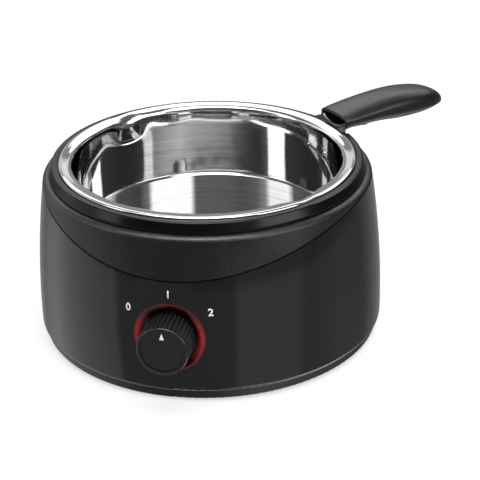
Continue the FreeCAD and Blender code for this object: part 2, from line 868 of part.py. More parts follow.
def make_dial_bezel():
    """Red lens ring: its edge follows the body's side, its face is dished, its flange is inside."""
    item = body("dial_bezel")
    far = S.body_low_r + 20
    room = S.body_low_r * 2

    def turned(points, remove=False):
        profile = outline(sketch(item, "YZ_Plane", 0, 0, S.dial_z), points)
        spin(item, profile, cut=remove, axis="H_Axis")

    def trimmed(inset):
        low, high, arc = side(inset)
        down = S.body_low_z - 4
        profile = outline(sketch(item, "XZ_Plane"), [
            low, (*high, arc), (high[0], S.deck_z), (room, S.deck_z), (room, down), (low[0], down),
        ])
        spin(item, profile, cut=True)

    turned([(-far, 0), (-far, S.bezel_flange_r), (-S.bezel_back, S.bezel_flange_r), (-S.bezel_back, 0)])
    trimmed(S.sleeve_t + S.shaft_fit)
    turned([(-far, 0), (-far, S.bezel_r), (-S.bezel_back, S.bezel_r), (-S.bezel_back, 0)])
    trimmed(0)
    rim = S.bezel_r - S.bezel_lip
    dish_top = S.bezel_floor + S.dish_rise
    turned([(-far, 0), (-far, rim + S.fit_gap), (-dish_top, rim), (-S.bezel_floor, S.bezel_in_r),
            (-S.bezel_floor, 0)], remove=True)
    nut_front = S.bezel_floor - S.bezel_floor_t
    hole = S.bush_r + S.bush_gap
    turned([(-far, 0), (-far, hole), (-nut_front, hole), (-nut_front, S.nut_room_r),
            (-S.bezel_back + 1, S.nut_room_r), (-S.bezel_back + 1, 0)], remove=True)
    lamp = circle(sketch(item, "XZ_Plane", S.bezel_back), S.lamp_ring, S.dial_z, S.lamp_r + S.fit_gap)
    lamp = pad(item, lamp, S.lamp_len + S.fit_gap, cut=True, back=True)
    mirror(item, [lamp], "YZ_Plane")
    return item


def make_lamps():
    """Ring-shaped board behind the bezel with two small lamps that light it."""
    board = body("lamp_board", dial=True)
    low = S.bezel_back - S.board_t
    profile = circle(sketch(board, "XY_Plane", low), 0, 0, S.board_r)
    circle(profile, 0, 0, S.nut_room_r)
    pad(board, profile, S.board_t)
    lamp = cylinder(S.lamp_r, 0, S.lamp_len)
    turn = FreeCAD.Rotation(V(1, 0, 0), 90)
    spots = [V(x, -VALUES["bezel_back"], VALUES["dial_z"])
             for x in (VALUES["lamp_ring"], -VALUES["lamp_ring"])]
    copies("indicator_lamps", lamp, [FreeCAD.Placement(spot, turn) for spot in spots])


def make_knob():
    """Fluted knob: hollow back with a hub, and a shallow seat for its cap."""
    item = body("knob", dial=True)
    back = S.bezel_floor + S.knob_gap
    inner = S.knob_r - S.knob_wall
    web = S.knob_face - S.knob_web
    profile = sketch(item, "XZ_Plane")
    edge = S.knob_edge
    hub = back + S.hub_in
    seat = S.knob_face - S.cap_sunk - S.cap_t
    outline(profile, [
        (0, hub), (S.hub_r, hub), (S.hub_r, web), (inner, web), (inner, back),
        (S.knob_r, back), (S.knob_r, S.knob_face - edge), (S.knob_r - edge, S.knob_face, edge),
        (S.cap_r + S.fit_gap, S.knob_face), (S.cap_r + S.fit_gap, seat), (0, seat),
    ])
    spin(item, profile)
    flute = circle(sketch(item, "XY_Plane", back), S.knob_r + S.flute_r / 3, 0, S.flute_r)
    flute = pad(item, flute, S.knob_face - back - S.flute_end, cut=True, back=True)
    ring_of(item, [flute], 36)
    bore = d_shape(sketch(item, "XY_Plane", back), S.shaft_fit)
    pad(item, bore, S.shaft_tip - back + S.knob_gap, cut=True, back=True)
    return item


def d_shape(profile, grow):
    """Outline of the flatted shaft, or of its bore when it is grown."""
    radius = S.shaft_r + grow
    flat = S.shaft_flat + grow
    half = root(radius * radius - flat * flat)
    return outline(profile, [(half, flat, radius), (-half, flat), (0, -radius, radius)])


def make_knob_cap():
    """Flat disc let into the knob's face."""
    low = S.knob_face - S.cap_sunk - S.cap_t
    item = cylinder(S.cap_r, low, S.knob_face - S.cap_sunk)
    item.Placement = FreeCAD.Placement(V(0, -float(low), VALUES["dial_z"]), FreeCAD.Rotation(V(1, 0, 0), 90))
    bind(item, "Placement.Base.y", -low)
    bind(item, "Placement.Base.z", S.dial_z)
    return node(item, "knob_cap")


def make_switch():
    """Shaft, switch body with its bush and blades, nut, spring clip, bracket and screws."""
    plate_front = S.bezel_back - S.board_t
    front = plate_front - S.bracket_t
    rear = front - S.switch_len
    start = front - S.shaft_deep

    shaft = body("switch_shaft", dial=True)
    pad(shaft, circle(sketch(shaft, "XY_Plane", start), 0, 0, S.shaft_r), S.shaft_tip - start)
    far = S.shaft_r * 2
    flat = box(sketch(shaft, "XY_Plane", S.bezel_floor + S.knob_gap), -far, far, S.shaft_flat, far)
    pad(shaft, flat, S.shaft_tip, cut=True, back=True)

    switch = body("rotary_switch", dial=True)
    half = S.switch_w / 2
    corner = half - S.bracket_corner
    case = outline(sketch(switch, "XY_Plane", rear), [
        (-corner, -half), (corner, -half), (half, -corner), (half, corner),
        (corner, half), (-corner, half), (-half, corner), (-half, -corner),
    ])
    pad(switch, case, S.switch_len)
    pad(switch, circle(sketch(switch, "XY_Plane", front), 0, 0, S.bush_r), S.bush_front - front)
    bore = circle(sketch(switch, "XY_Plane", start - 1), 0, 0, S.shaft_r + S.shaft_fit)
    pad(switch, bore, S.bush_front, cut=True, back=True)
    blade = box(sketch(switch, "XY_Plane", rear), S.switch_w / 4, S.switch_w / 4 + S.blade_t,
                -(S.blade_w / 2), S.blade_w / 2)
    blade = pad(switch, blade, S.blade_len, back=True)
    mirror(switch, [blade], "YZ_Plane")

    bracket = body("switch_bracket", dial=True)
    wide = S.bracket_pitch + S.bracket_end
    tall = S.bracket_h / 2
    curve = S.bracket_corner
    plate = sketch(bracket, "XY_Plane", front)
    outline(plate, [
        (-wide + curve, -tall, curve), (wide - curve, -tall), (wide, -tall + curve, curve),
        (wide, tall - curve), (wide - curve, tall, curve), (-wide + curve, tall),
        (-wide, tall - curve, curve), (-wide, -tall + curve),
    ])
    circle(plate, 0, 0, S.bush_r + S.fit_gap)
    for x in (S.bracket_pitch, -S.bracket_pitch):
        circle(plate, x, 0, S.pilot_r + S.fit_gap)
    pad(bracket, plate, S.bracket_t)

    nut = hexagon(S.switch_nut_r, plate_front, plate_front + S.switch_nut_t, S.bush_r + S.shaft_fit)
    doc.recompute()
    front_turn = FreeCAD.Placement(V(0, 0, VALUES["dial_z"]), FreeCAD.Rotation(V(1, 0, 0), 90))
    copies("switch_nut", nut, [front_turn])
    screw = fuse(cylinder(S.screw_head_r, front - S.screw_head_t, front),
                 cylinder(S.pilot_r, front, plate_front + S.ear_boss_deep - S.screw_end * 2))
    spots = [FreeCAD.Placement(V(x, 0, 0), FreeCAD.Rotation())
             for x in (VALUES["bracket_pitch"], -VALUES["bracket_pitch"])]
    copies("bracket_screws", screw, [front_turn.multiply(spot) for spot in spots])

    clip = body("knob_spring_clip", dial=True)
    grip = S.hub_r + S.shaft_fit
    profile = box(sketch(clip, "XZ_Plane"), grip, grip + S.clip_t, S.clip_low, S.clip_high)
    spin(clip, profile, angle=310)


# Cord inlet and wiring

def make_cord_gland():
    """Bush that lines the cord hole, gripped by a lip on each side of the wall."""
    item = body("cord_gland")

    def turned(points, remove=False):
        profile = outline(sketch(item, "YZ_Plane", 0, 0, S.inlet_z), points)
        spin(item, profile, cut=remove, axis="H_Axis")

    face = S.body_low_r + S.shaft_fit
    out = face + S.inlet_lip
    inside = S.body_low_r - S.sleeve_t - S.inlet_grip
    edge = S.inlet_edge
    turned([(S.inlet_y, S.inlet_bore), (out, S.inlet_bore), (out, S.inlet_lip_r - edge),
            (out - edge, S.inlet_lip_r, edge), (face, S.inlet_lip_r), (face, S.inlet_r),
            (inside, S.inlet_r), (inside, S.inlet_lip_r - edge), (inside - S.inlet_lip, S.inlet_r),
            (S.inlet_y, S.inlet_r)])
    return item


def make_terminal_block():
    """Three-way block on the base with its screws."""
    low = S.foot_z + S.base_t
    top = low + S.block_h
    x0 = S.block_x - S.block_w / 2
    y0 = S.block_y - S.block_d / 2
    case = block((x0, x0 + S.block_w), (y0, y0 + S.block_d), (low, top))
    pitch = S.block_w / 3
    holes = []
    places = []
    for index in range(3):
        x = x0 + pitch * (index + 0.5)
        entry = block((x - S.block_cell, x + S.block_cell), (y0 - 1, y0 + S.block_d + 1),
                      (low + S.block_floor, low + S.block_floor + S.block_cell * 2))
        shaft = cylinder(S.block_screw_r + S.shaft_fit * 2, low + S.block_floor + S.block_cell, top + 1, x,
                         S.block_y)
        holes += [entry, shaft]
        places.append(FreeCAD.Placement(V(float(x), VALUES["block_y"], 0), FreeCAD.Rotation()))
    node(cut(case, *holes), "terminal_block")
    slot = driver_slot(S.block_screw_r * 1.5, top - S.slot_t * 1.6)
    tip = low + S.block_floor + S.lead_r * 2 + S.shaft_fit
    copies("terminal_screws", cut(cylinder(S.block_screw_r, tip, top - S.slot_t), slot), places)


def lead(points, radius):
    """A wire through some points: straight runs joined by round bends."""
    spots = [V(*(float(part) for part in point)) for point in points]
    edges = []
    last = spots[0]
    for before, spot, after in zip(spots, spots[1:], spots[2:]):
        way_in = (before - spot).normalize()
        way_out = (after - spot).normalize()
        run = 0.45 * min((before - spot).Length, (after - spot).Length)
        half = way_in.getAngle(way_out) / 2
        bend = run * math.tan(half)
        middle = (way_in + way_out).normalize()
        top = spot + middle * (bend / math.sin(half) - bend)
        edges.append(Part.LineSegment(last, spot + way_in * run).toShape())
        edges.append(Part.Arc(spot + way_in * run, top, spot + way_out * run).toShape())
        last = spot + way_out * run
    edges.append(Part.LineSegment(last, spots[-1]).toShape())
    ring = Part.Wire([Part.makeCircle(radius, spots[0], spots[1] - spots[0])])
    return Part.Wire(edges).makePipeShell([ring], True, True)


def make_leads():
    """Wires between the block, the switch, the thermostat and the fuse."""
    switch_y = -(S.bezel_back - S.board_t - S.bracket_t - S.switch_len - S.blade_len)
    switch_x = (S.switch_w / 2 + S.blade_t) / 2
    cell_z = S.foot_z + S.base_t + S.block_floor + S.lead_r
    cell_y = S.block_y + S.block_screw_r
    first = S.block_x - S.block_w / 3
    last = S.block_x + S.block_w / 3
    clamp_low = heater_stack()[3]
    blade_x = S.thermostat_r / 2
    blade_z = clamp_low - S.thermostat_t - S.blade_len
    fuse_x = S.fuse_len / 2
    fuse_z = clamp_low - S.fuse_r
    # Shares of the clamp plate's radius in plan and of the dial's height upwards
    r = S.clamp_r
    h = S.dial_z
    over = cell_z + S.lead_r * 2
    routes = [
        [(switch_x, switch_y, h), (switch_x, switch_y + r * 0.3, h), (r * 0.2, r * -0.43, h * 0.4),
         (first, r * 0.26, over), (first, r * 0.65, cell_z), (first, cell_y, cell_z)],
        [(-switch_x, switch_y, h), (-switch_x, switch_y + r * 0.3, h), (r * -0.24, r * -0.39, h * 0.51),
         (-blade_x, 0, h * 0.4), (-blade_x, 0, blade_z)],
        [(blade_x, 0, blade_z), (blade_x, 0, blade_z - h * 0.34), (r * 0.35, r * -0.26, h * 0.62),
         (r * 0.48, r * -0.48, h * 1.02), (r * 0.35, -S.fuse_y, fuse_z), (fuse_x, -S.fuse_y, fuse_z)],
        [(-fuse_x, -S.fuse_y, fuse_z), (r * -0.35, -S.fuse_y, fuse_z), (r * -0.52, r * -0.26, h * 0.9),
         (r * -0.39, r * 0.26, h * 0.45), (r * 0.13, r * 0.48, h * 0.34), (last, r * 0.48, over),
         (last, r * 0.74, cell_z), (last, cell_y, cell_z)],
    ]
    item = doc.addObject("Part::Feature", "wiring_leads")
    item.Shape = Part.makeCompound([lead(route, VALUES["lead_r"]) for route in routes])
    return node(item, "wiring_leads")


# Bowl and handle

def make_bowl():
    """Spun steel bowl: rounded corner, rolled rim, two pouring lips nearly across the handle's line."""
    item = body("bowl", turn=S.handle_angle + S.lip_turn)
    t = S.bowl_t
    rim_under = S.rim_z - t
    top_z = S.rim_z + S.rim_crown
    roll = S.hem_w / 2
    curl = roll * 1.2
    profile = sketch(item, "XZ_Plane")
    outline(profile, [
        (0, S.bowl_floor_z - t), (S.bowl_floor_r, S.bowl_floor_z - t),
        (S.bowl_wall_r + t, S.bowl_wall_z, S.bowl_corner + t), (S.mouth_r + t, S.mouth_z),
        (S.rim_in_r, rim_under, -S.rim_bend), (S.hem_in_r, rim_under + S.rim_crown / 2),
        (S.hem_in_r, S.hem_low_z + S.rim_crown), (S.hem_in_r + roll, S.hem_low_z, curl),
        (S.hem_r, S.hem_low_z + roll, curl), (S.hem_in_r + roll, top_z, curl),
        (S.rim_in_r, S.rim_z), (S.mouth_r, S.mouth_z, S.rim_bend + t),
        (S.bowl_wall_r, S.bowl_wall_z), (S.bowl_floor_r, S.bowl_floor_z, -S.bowl_corner),
        (0, S.bowl_floor_z),
    ])
    spin(item, profile)

    run = S.lip_b - S.lip_a

    def lip(at, grow, lid):
        part = (at - S.lip_a) / run
        half = S.lip_a_w + (S.lip_b_w - S.lip_a_w) * part + grow
        low = S.lip_a_z + (S.lip_b_z - S.lip_a_z) * part - grow
        deep = S.rim_z - low
        spot = sketch(item, "XZ_Plane", at)
        points = [(-half, S.rim_z), (half, S.rim_z, trough_arc(half, deep))]
        if lid:
            points += [(half, S.rim_z + 4), (-half, S.rim_z + 4)]
        return outline(spot, points)

    def loft(kind, grow, lid, first, last):
        feature = item.newObject(f"PartDesign::{kind}", kind)
        feature.Profile = lip(first, grow, lid)
        feature.Sections = [lip(last, grow, lid)]
        feature.Ruled = True
        return feature

    shell = loft("AdditiveLoft", t, False, S.mouth_r + t / 2, S.lip_b)
    scoop = loft("SubtractiveLoft", size(0), True, S.mouth_r - 2, S.lip_b)
    mirror(item, [shell, scoop], "XZ_Plane")
    return item


def trough_section(owner, at, half, middle, edge):
    """Section of the bracket's trough at a distance along the handle."""
    bend = trough_arc(half, edge - middle)
    return outline(sketch(owner, "YZ_Plane", at), [
        (-half, edge - S.ear_t), (half, edge - S.ear_t, bend), (half, edge), (-half, edge, -bend),
    ])


def tongue_edge_z():
    """Height of the trough's inside at the tongue's edge."""
    bend = trough_arc(S.trough_w, S.trough_edge_z - S.trough_mid_z)
    return S.trough_mid_z + bend - root(bend * bend - S.tongue_w * S.tongue_w)


def make_handle_bracket():
    """Painted strip: a leg welded to the bowl, a shelf under its rim, a trough into the grip."""
    item = body("handle_bracket", turn=S.handle_angle)
    leg_r = S.mouth_r + S.bowl_t + S.fit_gap
    under = S.ear_mid_z - S.ear_t
    leg = box(sketch(item, "XZ_Plane"), leg_r, leg_r + S.leg_t, S.leg_low_z, under + S.ear_t / 5)
    spin(item, leg, angle=2 * math.degrees(math.asin(VALUES["leg_w"] / float(leg_r))), middle=True)
    shelf = box(sketch(item, "XY_Plane", under), leg_r, S.ear_root, -S.shelf_w, S.shelf_w)
    pad(item, shelf, S.ear_t)
    flare = item.newObject("PartDesign::AdditiveLoft", "Flare")
    flare.Profile = trough_section(item, S.ear_root, S.ear_w, S.ear_mid_z, S.ear_edge_z)
    end = (S.trough_w, S.trough_mid_z, S.trough_edge_z)
    flare.Sections = [trough_section(item, S.trough_start, *end)]
    flare.Ruled = True
    trough = trough_section(item, S.trough_start, *end)
    pad(item, trough, S.tongue_start - S.trough_start)
    tongue = trough_section(item, S.tongue_start, S.tongue_w, S.trough_mid_z, tongue_edge_z())
    pad(item, tongue, S.tongue_end - S.tongue_start)
    hole = circle(sketch(item, "XY_Plane"), S.handle_screw_x, 0, S.pilot_r + S.fit_gap)
    pad(item, hole, 0, cut=True, back=True, through=True)
    return item


def arch(along, half, spring, rise, power):
    """Half of a section, from one side to the other: a superellipse that springs from a height."""
    points = []
    steps = 12
    for step in range(steps + 1):
        angle = math.pi * step / steps
        reach = math.copysign(abs(math.cos(angle)) ** (2 / power), math.cos(angle))
        points.append(V(along, half * reach, spring + rise * math.sin(angle) ** (2 / power)))
    curve = Part.BSplineCurve()
    curve.interpolate(points)
    return curve.toShape()


def grip_section(along, half, top, crease, low):
    """Closed section of the grip: a flat-topped upper half and a fuller underside."""
    upper = arch(along, half, crease, top - crease, 2.8)
    under = arch(along, half, crease, low - crease, 3.1)
    return Part.Wire([upper, under])


def make_handle_grip():
    """Moulded grip: arched and drooping with a round tip, hollow where the bracket goes in."""
    start = VALUES["handle_start"]
    length = VALUES["handle_len"]
    wide = VALUES["handle_w"]
    top = VALUES["handle_top"]
    tall = VALUES["handle_h"]
    # Shares of the length and of the width, then the top, crease and underside in shares of the
    # height, down from the highest point
    stations = [
        (0.000, 0.940, -0.304, -0.529, -0.935), (0.120, 0.993, -0.197, -0.497, -0.856),
        (0.240, 1.002, -0.110, -0.488, -0.851), (0.360, 1.002, -0.045, -0.486, -0.890),
        (0.480, 0.996, -0.005, -0.501, -0.963), (0.600, 0.971, -0.009, -0.533, -0.994),
        (0.720, 0.894, -0.068, -0.591, -1.000), (0.800, 0.797, -0.142, -0.647, -0.975),
        (0.870, 0.642, -0.262, -0.713, -0.957), (0.920, 0.488, -0.391, -0.776, -0.941),
        (0.955, 0.350, -0.523, -0.833, -0.931), (0.980, 0.223, -0.660, -0.865, -0.924),
        (0.993, 0.129, -0.770, -0.889, -0.920),
    ]
    wires = [grip_section(start + length * share, wide * w, top + tall * t, top + tall * c, top + tall * b)
             for share, w, t, c, b in stations]
    solid = Part.makeLoft(wires, True, False)
    half = VALUES["trough_w"] + VALUES["fit_gap"] * 2
    roof = top + tall * stations[0][2] - VALUES["cavity_wall"]
    spring = roof - VALUES["cavity_arch"]
    below = top - tall * 2
    lid = arch(start - 1, half, spring, roof - spring, 2.8)
    corners = [V(start - 1, -half, spring), V(start - 1, -half, below), V(start - 1, half, below),
               V(start - 1, half, spring)]
    mouth = Part.Wire([lid, *Part.makePolygon(corners).Edges])
    solid = solid.cut(Part.Face(mouth).extrude(V(VALUES["cavity_end"] - start + 1, 0, 0)))
    gap = VALUES["fit_gap"]
    slot_half = VALUES["tongue_w"] + gap
    slot_top = float(tongue_edge_z()) + gap
    slot_end = VALUES["tongue_end"] + gap
    slot = Part.makeBox(slot_end - start, slot_half * 2, slot_top - below, V(start, -slot_half, below))
    solid = solid.cut(slot)
    past = VALUES["screw_end"]
    foot = V(VALUES["handle_screw_x"], 0, slot_top - past)
    pilot = Part.makeCylinder(VALUES["pilot_r"], VALUES["grip_bite"] + past * 2, foot)
    solid = solid.cut(pilot)
    item = doc.addObject("Part::Feature", "handle_grip")
    item.Shape = solid
    place(item, 0, S.handle_angle)
    return node(item, "handle_grip")


def make_handle_screw():
    """Screw from below through the tongue into the grip."""
    under = S.trough_mid_z - S.ear_t
    head = cylinder(S.screw_head_r, under - S.screw_head_t, under)
    shank = cylinder(S.pilot_r, under, tongue_edge_z() + S.fit_gap + S.grip_bite)
    recess = driver_slot(S.pilot_r, under - S.screw_head_t)
    return copies("handle_screw", cut(fuse(head, shank), recess),
                  around(S.handle_screw_x, VALUES["handle_angle"], 1))


def check_everything():
    """Stop if any object of the document failed."""
    doc.recompute()
    for item in doc.Objects:
        if "Invalid" in item.State or "Error" in item.State:
            raise RuntimeError(f"{item.Label} failed: {item.State}")
    for item in parts:
        if item.Shape.isNull() or not item.Shape.isValid():
            raise RuntimeError(f"{item.Label} has no valid shape")


def write_everything():
    """Write each piece to a file of its own."""
    os.makedirs("parts", exist_ok=True)
    for item in parts:
        item.Shape.exportStep(f"parts/{item.Label}.step")


make_base_plate()
make_feet()
make_base_screws()
make_outer_sleeve()
make_upper_shell()
make_seat_collar()
make_heating_well()
make_heater()
make_thermostat()
make_thermal_fuse()
make_dial_bezel()
make_lamps()
make_knob()
make_knob_cap()
make_switch()
make_cord_gland()
make_terminal_block()
make_leads()
make_bowl()
make_handle_bracket()
make_handle_grip()
make_handle_screw()
check_everything()
write_everything()
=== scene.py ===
"""A chocolate melter with a lift-out steel bowl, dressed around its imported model."""

import math

import bmesh
import bpy
from mathutils import Matrix, Vector

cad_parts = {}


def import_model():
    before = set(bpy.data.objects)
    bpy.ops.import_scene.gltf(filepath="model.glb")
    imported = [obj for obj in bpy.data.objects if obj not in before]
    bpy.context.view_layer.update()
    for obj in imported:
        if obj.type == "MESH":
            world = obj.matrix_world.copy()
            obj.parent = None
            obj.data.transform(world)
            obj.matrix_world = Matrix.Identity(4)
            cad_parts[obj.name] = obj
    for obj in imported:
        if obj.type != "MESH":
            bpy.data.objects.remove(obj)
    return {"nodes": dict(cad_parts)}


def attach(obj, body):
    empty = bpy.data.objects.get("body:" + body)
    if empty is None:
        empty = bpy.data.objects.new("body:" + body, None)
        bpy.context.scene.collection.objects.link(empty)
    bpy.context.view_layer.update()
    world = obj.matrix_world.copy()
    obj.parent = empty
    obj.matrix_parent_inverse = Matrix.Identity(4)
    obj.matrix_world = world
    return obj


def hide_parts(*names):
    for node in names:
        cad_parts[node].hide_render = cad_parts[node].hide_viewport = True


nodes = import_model()["nodes"]
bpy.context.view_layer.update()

MM = 0.001
DIAL_Z = 35.4  # height of the dial's axis, in millimetres
HANDLE_TURN = math.radians(44)  # where the handle points, from +X


# Camera: the photograph's viewing angle and framing

PHOTO_PX = 480
FOCAL_PX = 1507.3
SENSOR_MM = 36
CAMERA_TURN = math.radians(13.5)
CAMERA_TILT = math.radians(25.77)
CAMERA_ROLL = math.radians(-1.11)
CAMERA_REACH = 800 * MM
CENTRE_Z = 50 * MM
AIM = (16.15 * MM, 0, 43.89 * MM)


def make_camera():
    """Place the camera where the photograph was taken from."""
    spin = Matrix.Rotation(CAMERA_TURN, 3, "Z")
    back = CAMERA_REACH * math.cos(CAMERA_TILT)
    rise = CAMERA_REACH * math.sin(CAMERA_TILT)
    spot = spin @ Vector((0, -back, CENTRE_Z + rise))
    aim = spin @ Vector(AIM)
    ahead = (aim - spot).normalized()
    right = ahead.cross(Vector((0, 0, 1))).normalized()
    up = right.cross(ahead)
    across = right * math.cos(CAMERA_ROLL) + up * math.sin(CAMERA_ROLL)
    upward = up * math.cos(CAMERA_ROLL) - right * math.sin(CAMERA_ROLL)
    pose = Matrix((across, upward, -ahead)).transposed().to_4x4()
    pose.translation = spot
    data = bpy.data.cameras.new("camera")
    data.sensor_width = SENSOR_MM
    data.lens = FOCAL_PX / PHOTO_PX * SENSOR_MM
    camera = link(bpy.data.objects.new("camera", data))
    camera.matrix_world = pose
    bpy.context.scene.camera = camera
    bpy.context.scene.view_settings.view_transform = "Standard"


# Small helpers

def linear(text):
    """Turn an sRGB hex colour into Blender's linear RGBA."""
    values = [int(text[i:i + 2], 16) / 255 for i in (1, 3, 5)]
    return [v / 12.92 if v <= 0.04045 else ((v + 0.055) / 1.055) ** 2.4 for v in values] + [1.0]


def grey(level):
    """Grey of a linear brightness, as RGBA."""
    return (level, level, level, 1)


def toned(colour, factor):
    """A linear colour made darker or lighter, kept under 1."""
    return [min(c * factor, 1) for c in colour[:3]] + [1]


def add(tree, kind, inputs=None, **settings):
    """Add a node with its settings. An input is a value, or another node's output to link."""
    item = tree.nodes.new(kind)
    for name, value in settings.items():
        setattr(item, name, value)
    for name, value in (inputs or {}).items():
        socket = item.inputs[name]
        if isinstance(value, bpy.types.NodeSocket):
            tree.links.new(value, socket)
        else:
            socket.default_value = value
    return item


def link(obj):
    """Put an object into the scene."""
    bpy.context.scene.collection.objects.link(obj)
    return obj


def mesh_object(name, verts, faces, smooth=True):
    """Make a mesh object from points in millimetres."""
    mesh = bpy.data.meshes.new(name)
    mesh.from_pydata([[c * MM for c in v] for v in verts], [], faces)
    mesh.polygons.foreach_set("use_smooth", [smooth] * len(mesh.polygons))
    mesh.update()
    return link(bpy.data.objects.new(name, mesh))


def plain_mesh(source):
    """Evaluate an object, keep the result as a plain mesh and remove the object."""
    bpy.context.view_layer.update()
    shown = source.evaluated_get(bpy.context.evaluated_depsgraph_get())
    mesh = bpy.data.meshes.new_from_object(shown)
    bpy.data.objects.remove(source)
    return mesh


def grid_faces(rows, columns):
    """Quads of a grid of points, closed round its columns."""
    faces = []
    for i in range(rows - 1):
        row = i * columns
        above = row + columns
        for j in range(columns):
            after = (j + 1) % columns
            faces.append((row + j, row + after, above + after, above + j))
    return faces


def smooth_step(x, low, high):
    """Rise smoothly from 0 to 1 between two values."""
    t = min(max((x - low) / (high - low), 0), 1)
    return t * t * (3 - 2 * t)


def spread(start, stop, steps):
    """Points at equal steps along a straight line, without its start."""
    across = (stop[0] - start[0]) / steps
    upward = (stop[1] - start[1]) / steps
    return [(start[0] + across * i, start[1] + upward * i) for i in range(1, steps + 1)]


def arc(centre, radius, start, stop, steps):
    """Points along an arc without its first point, angles in degrees."""
    points = []
    for i in range(1, steps + 1):
        a = math.radians(start + (stop - start) * i / steps)
        points.append((centre[0] + radius * math.cos(a), centre[1] + radius * math.sin(a)))
    return points


# Materials

def new_material(name):
    """Start an empty node material. Gives it, its tree and the object's own coordinates."""
    item = bpy.data.materials.new(name)
    item.use_nodes = True
    item.node_tree.nodes.clear()
    place = add(item.node_tree, "ShaderNodeTexCoord").outputs["Object"]
    return item, item.node_tree, place


CLOUD_MM = 18  # patches in a moulding's gloss
WAVE_MM = 30  # long waves that bend a glossy moulding's reflections


def plastic(name, colour, rough, grain_mm, grain_bump, wave_bump=0.0, mottle=0.06, ior=1.5,
            shine=0.5):
    """Moulded plastic: a grain of a real size in the surface, slight mottling, a long soft wave."""
    item, tree, place = new_material(name)
    grain = add(tree, "ShaderNodeTexNoise", {
        "Vector": place, "Scale": 1 / (grain_mm * MM), "Detail": 2.0, "Roughness": 0.55})
    cloud = add(tree, "ShaderNodeTexNoise", {
        "Vector": place, "Scale": 1 / (CLOUD_MM * MM), "Detail": 3.0})
    shade = add(tree, "ShaderNodeMapRange", {
        "Value": cloud.outputs["Fac"],
        "To Min": rough * (1 - mottle * 2), "To Max": rough * (1 + mottle * 2)})
    ramp = add(tree, "ShaderNodeValToRGB", {"Fac": grain.outputs["Fac"]})
    for stop, at, change in zip(ramp.color_ramp.elements, (0.35, 0.65), (-mottle * 3, mottle * 3)):
        stop.position = at
        stop.color = toned(linear(colour), 1 + change)
    bump = add(tree, "ShaderNodeBump", {
        "Height": grain.outputs["Fac"], "Strength": 1.0, "Distance": grain_bump * MM})
    if wave_bump:
        wave = add(tree, "ShaderNodeTexNoise", {
            "Vector": place, "Scale": 1 / (WAVE_MM * MM), "Detail": 1.0})
        bump = add(tree, "ShaderNodeBump", {
            "Height": wave.outputs["Fac"], "Strength": 1.0, "Distance": wave_bump * MM,
            "Normal": bump.outputs["Normal"]})
    shader = add(tree, "ShaderNodeBsdfPrincipled", {
        "Base Color": ramp.outputs["Color"], "Roughness": shade.outputs["Result"], "IOR": ior,
        "Specular IOR Level": shine, "Normal": bump.outputs["Normal"]})
    add(tree, "ShaderNodeOutputMaterial", {"Surface": shader.outputs[0]})
    return item


def metal(name, colour, rough, line_mm, line_bump):
    """Bare metal with fine working lines: noise drawn out flat, across the part's height."""
    item, tree, place = new_material(name)
    drawn = add(tree, "ShaderNodeMapping", {"Vector": place, "Scale": (1, 1, 12)})
    lines = add(tree, "ShaderNodeTexNoise", {
        "Vector": drawn.outputs["Vector"], "Scale": 1 / (line_mm * MM), "Detail": 3.0,
        "Roughness": 0.6})
    shade = add(tree, "ShaderNodeMapRange", {
        "Value": lines.outputs["Fac"], "To Min": rough * 0.9, "To Max": rough * 1.1})
    bump = add(tree, "ShaderNodeBump", {
        "Height": lines.outputs["Fac"], "Strength": 1.0, "Distance": line_bump * MM})
    shader = add(tree, "ShaderNodeBsdfPrincipled", {
        "Base Color": linear(colour), "Metallic": 1.0, "Roughness": shade.outputs["Result"],
        "Normal": bump.outputs["Normal"]})
    add(tree, "ShaderNodeOutputMaterial", {"Surface": shader.outputs[0]})
    return item


LINE_MM = 0.6  # turning lines; the real ones are far finer and wouldn't show, so these are coarser
BAND_MM = 2.2  # groups of turning lines that read as light and dark bands
DRAWN_MM = 1.2  # how slowly a line changes along its way round: this far to the radian
UNEVEN_MM = 26  # slow unevenness of the spun wall, which bends the reflections a little


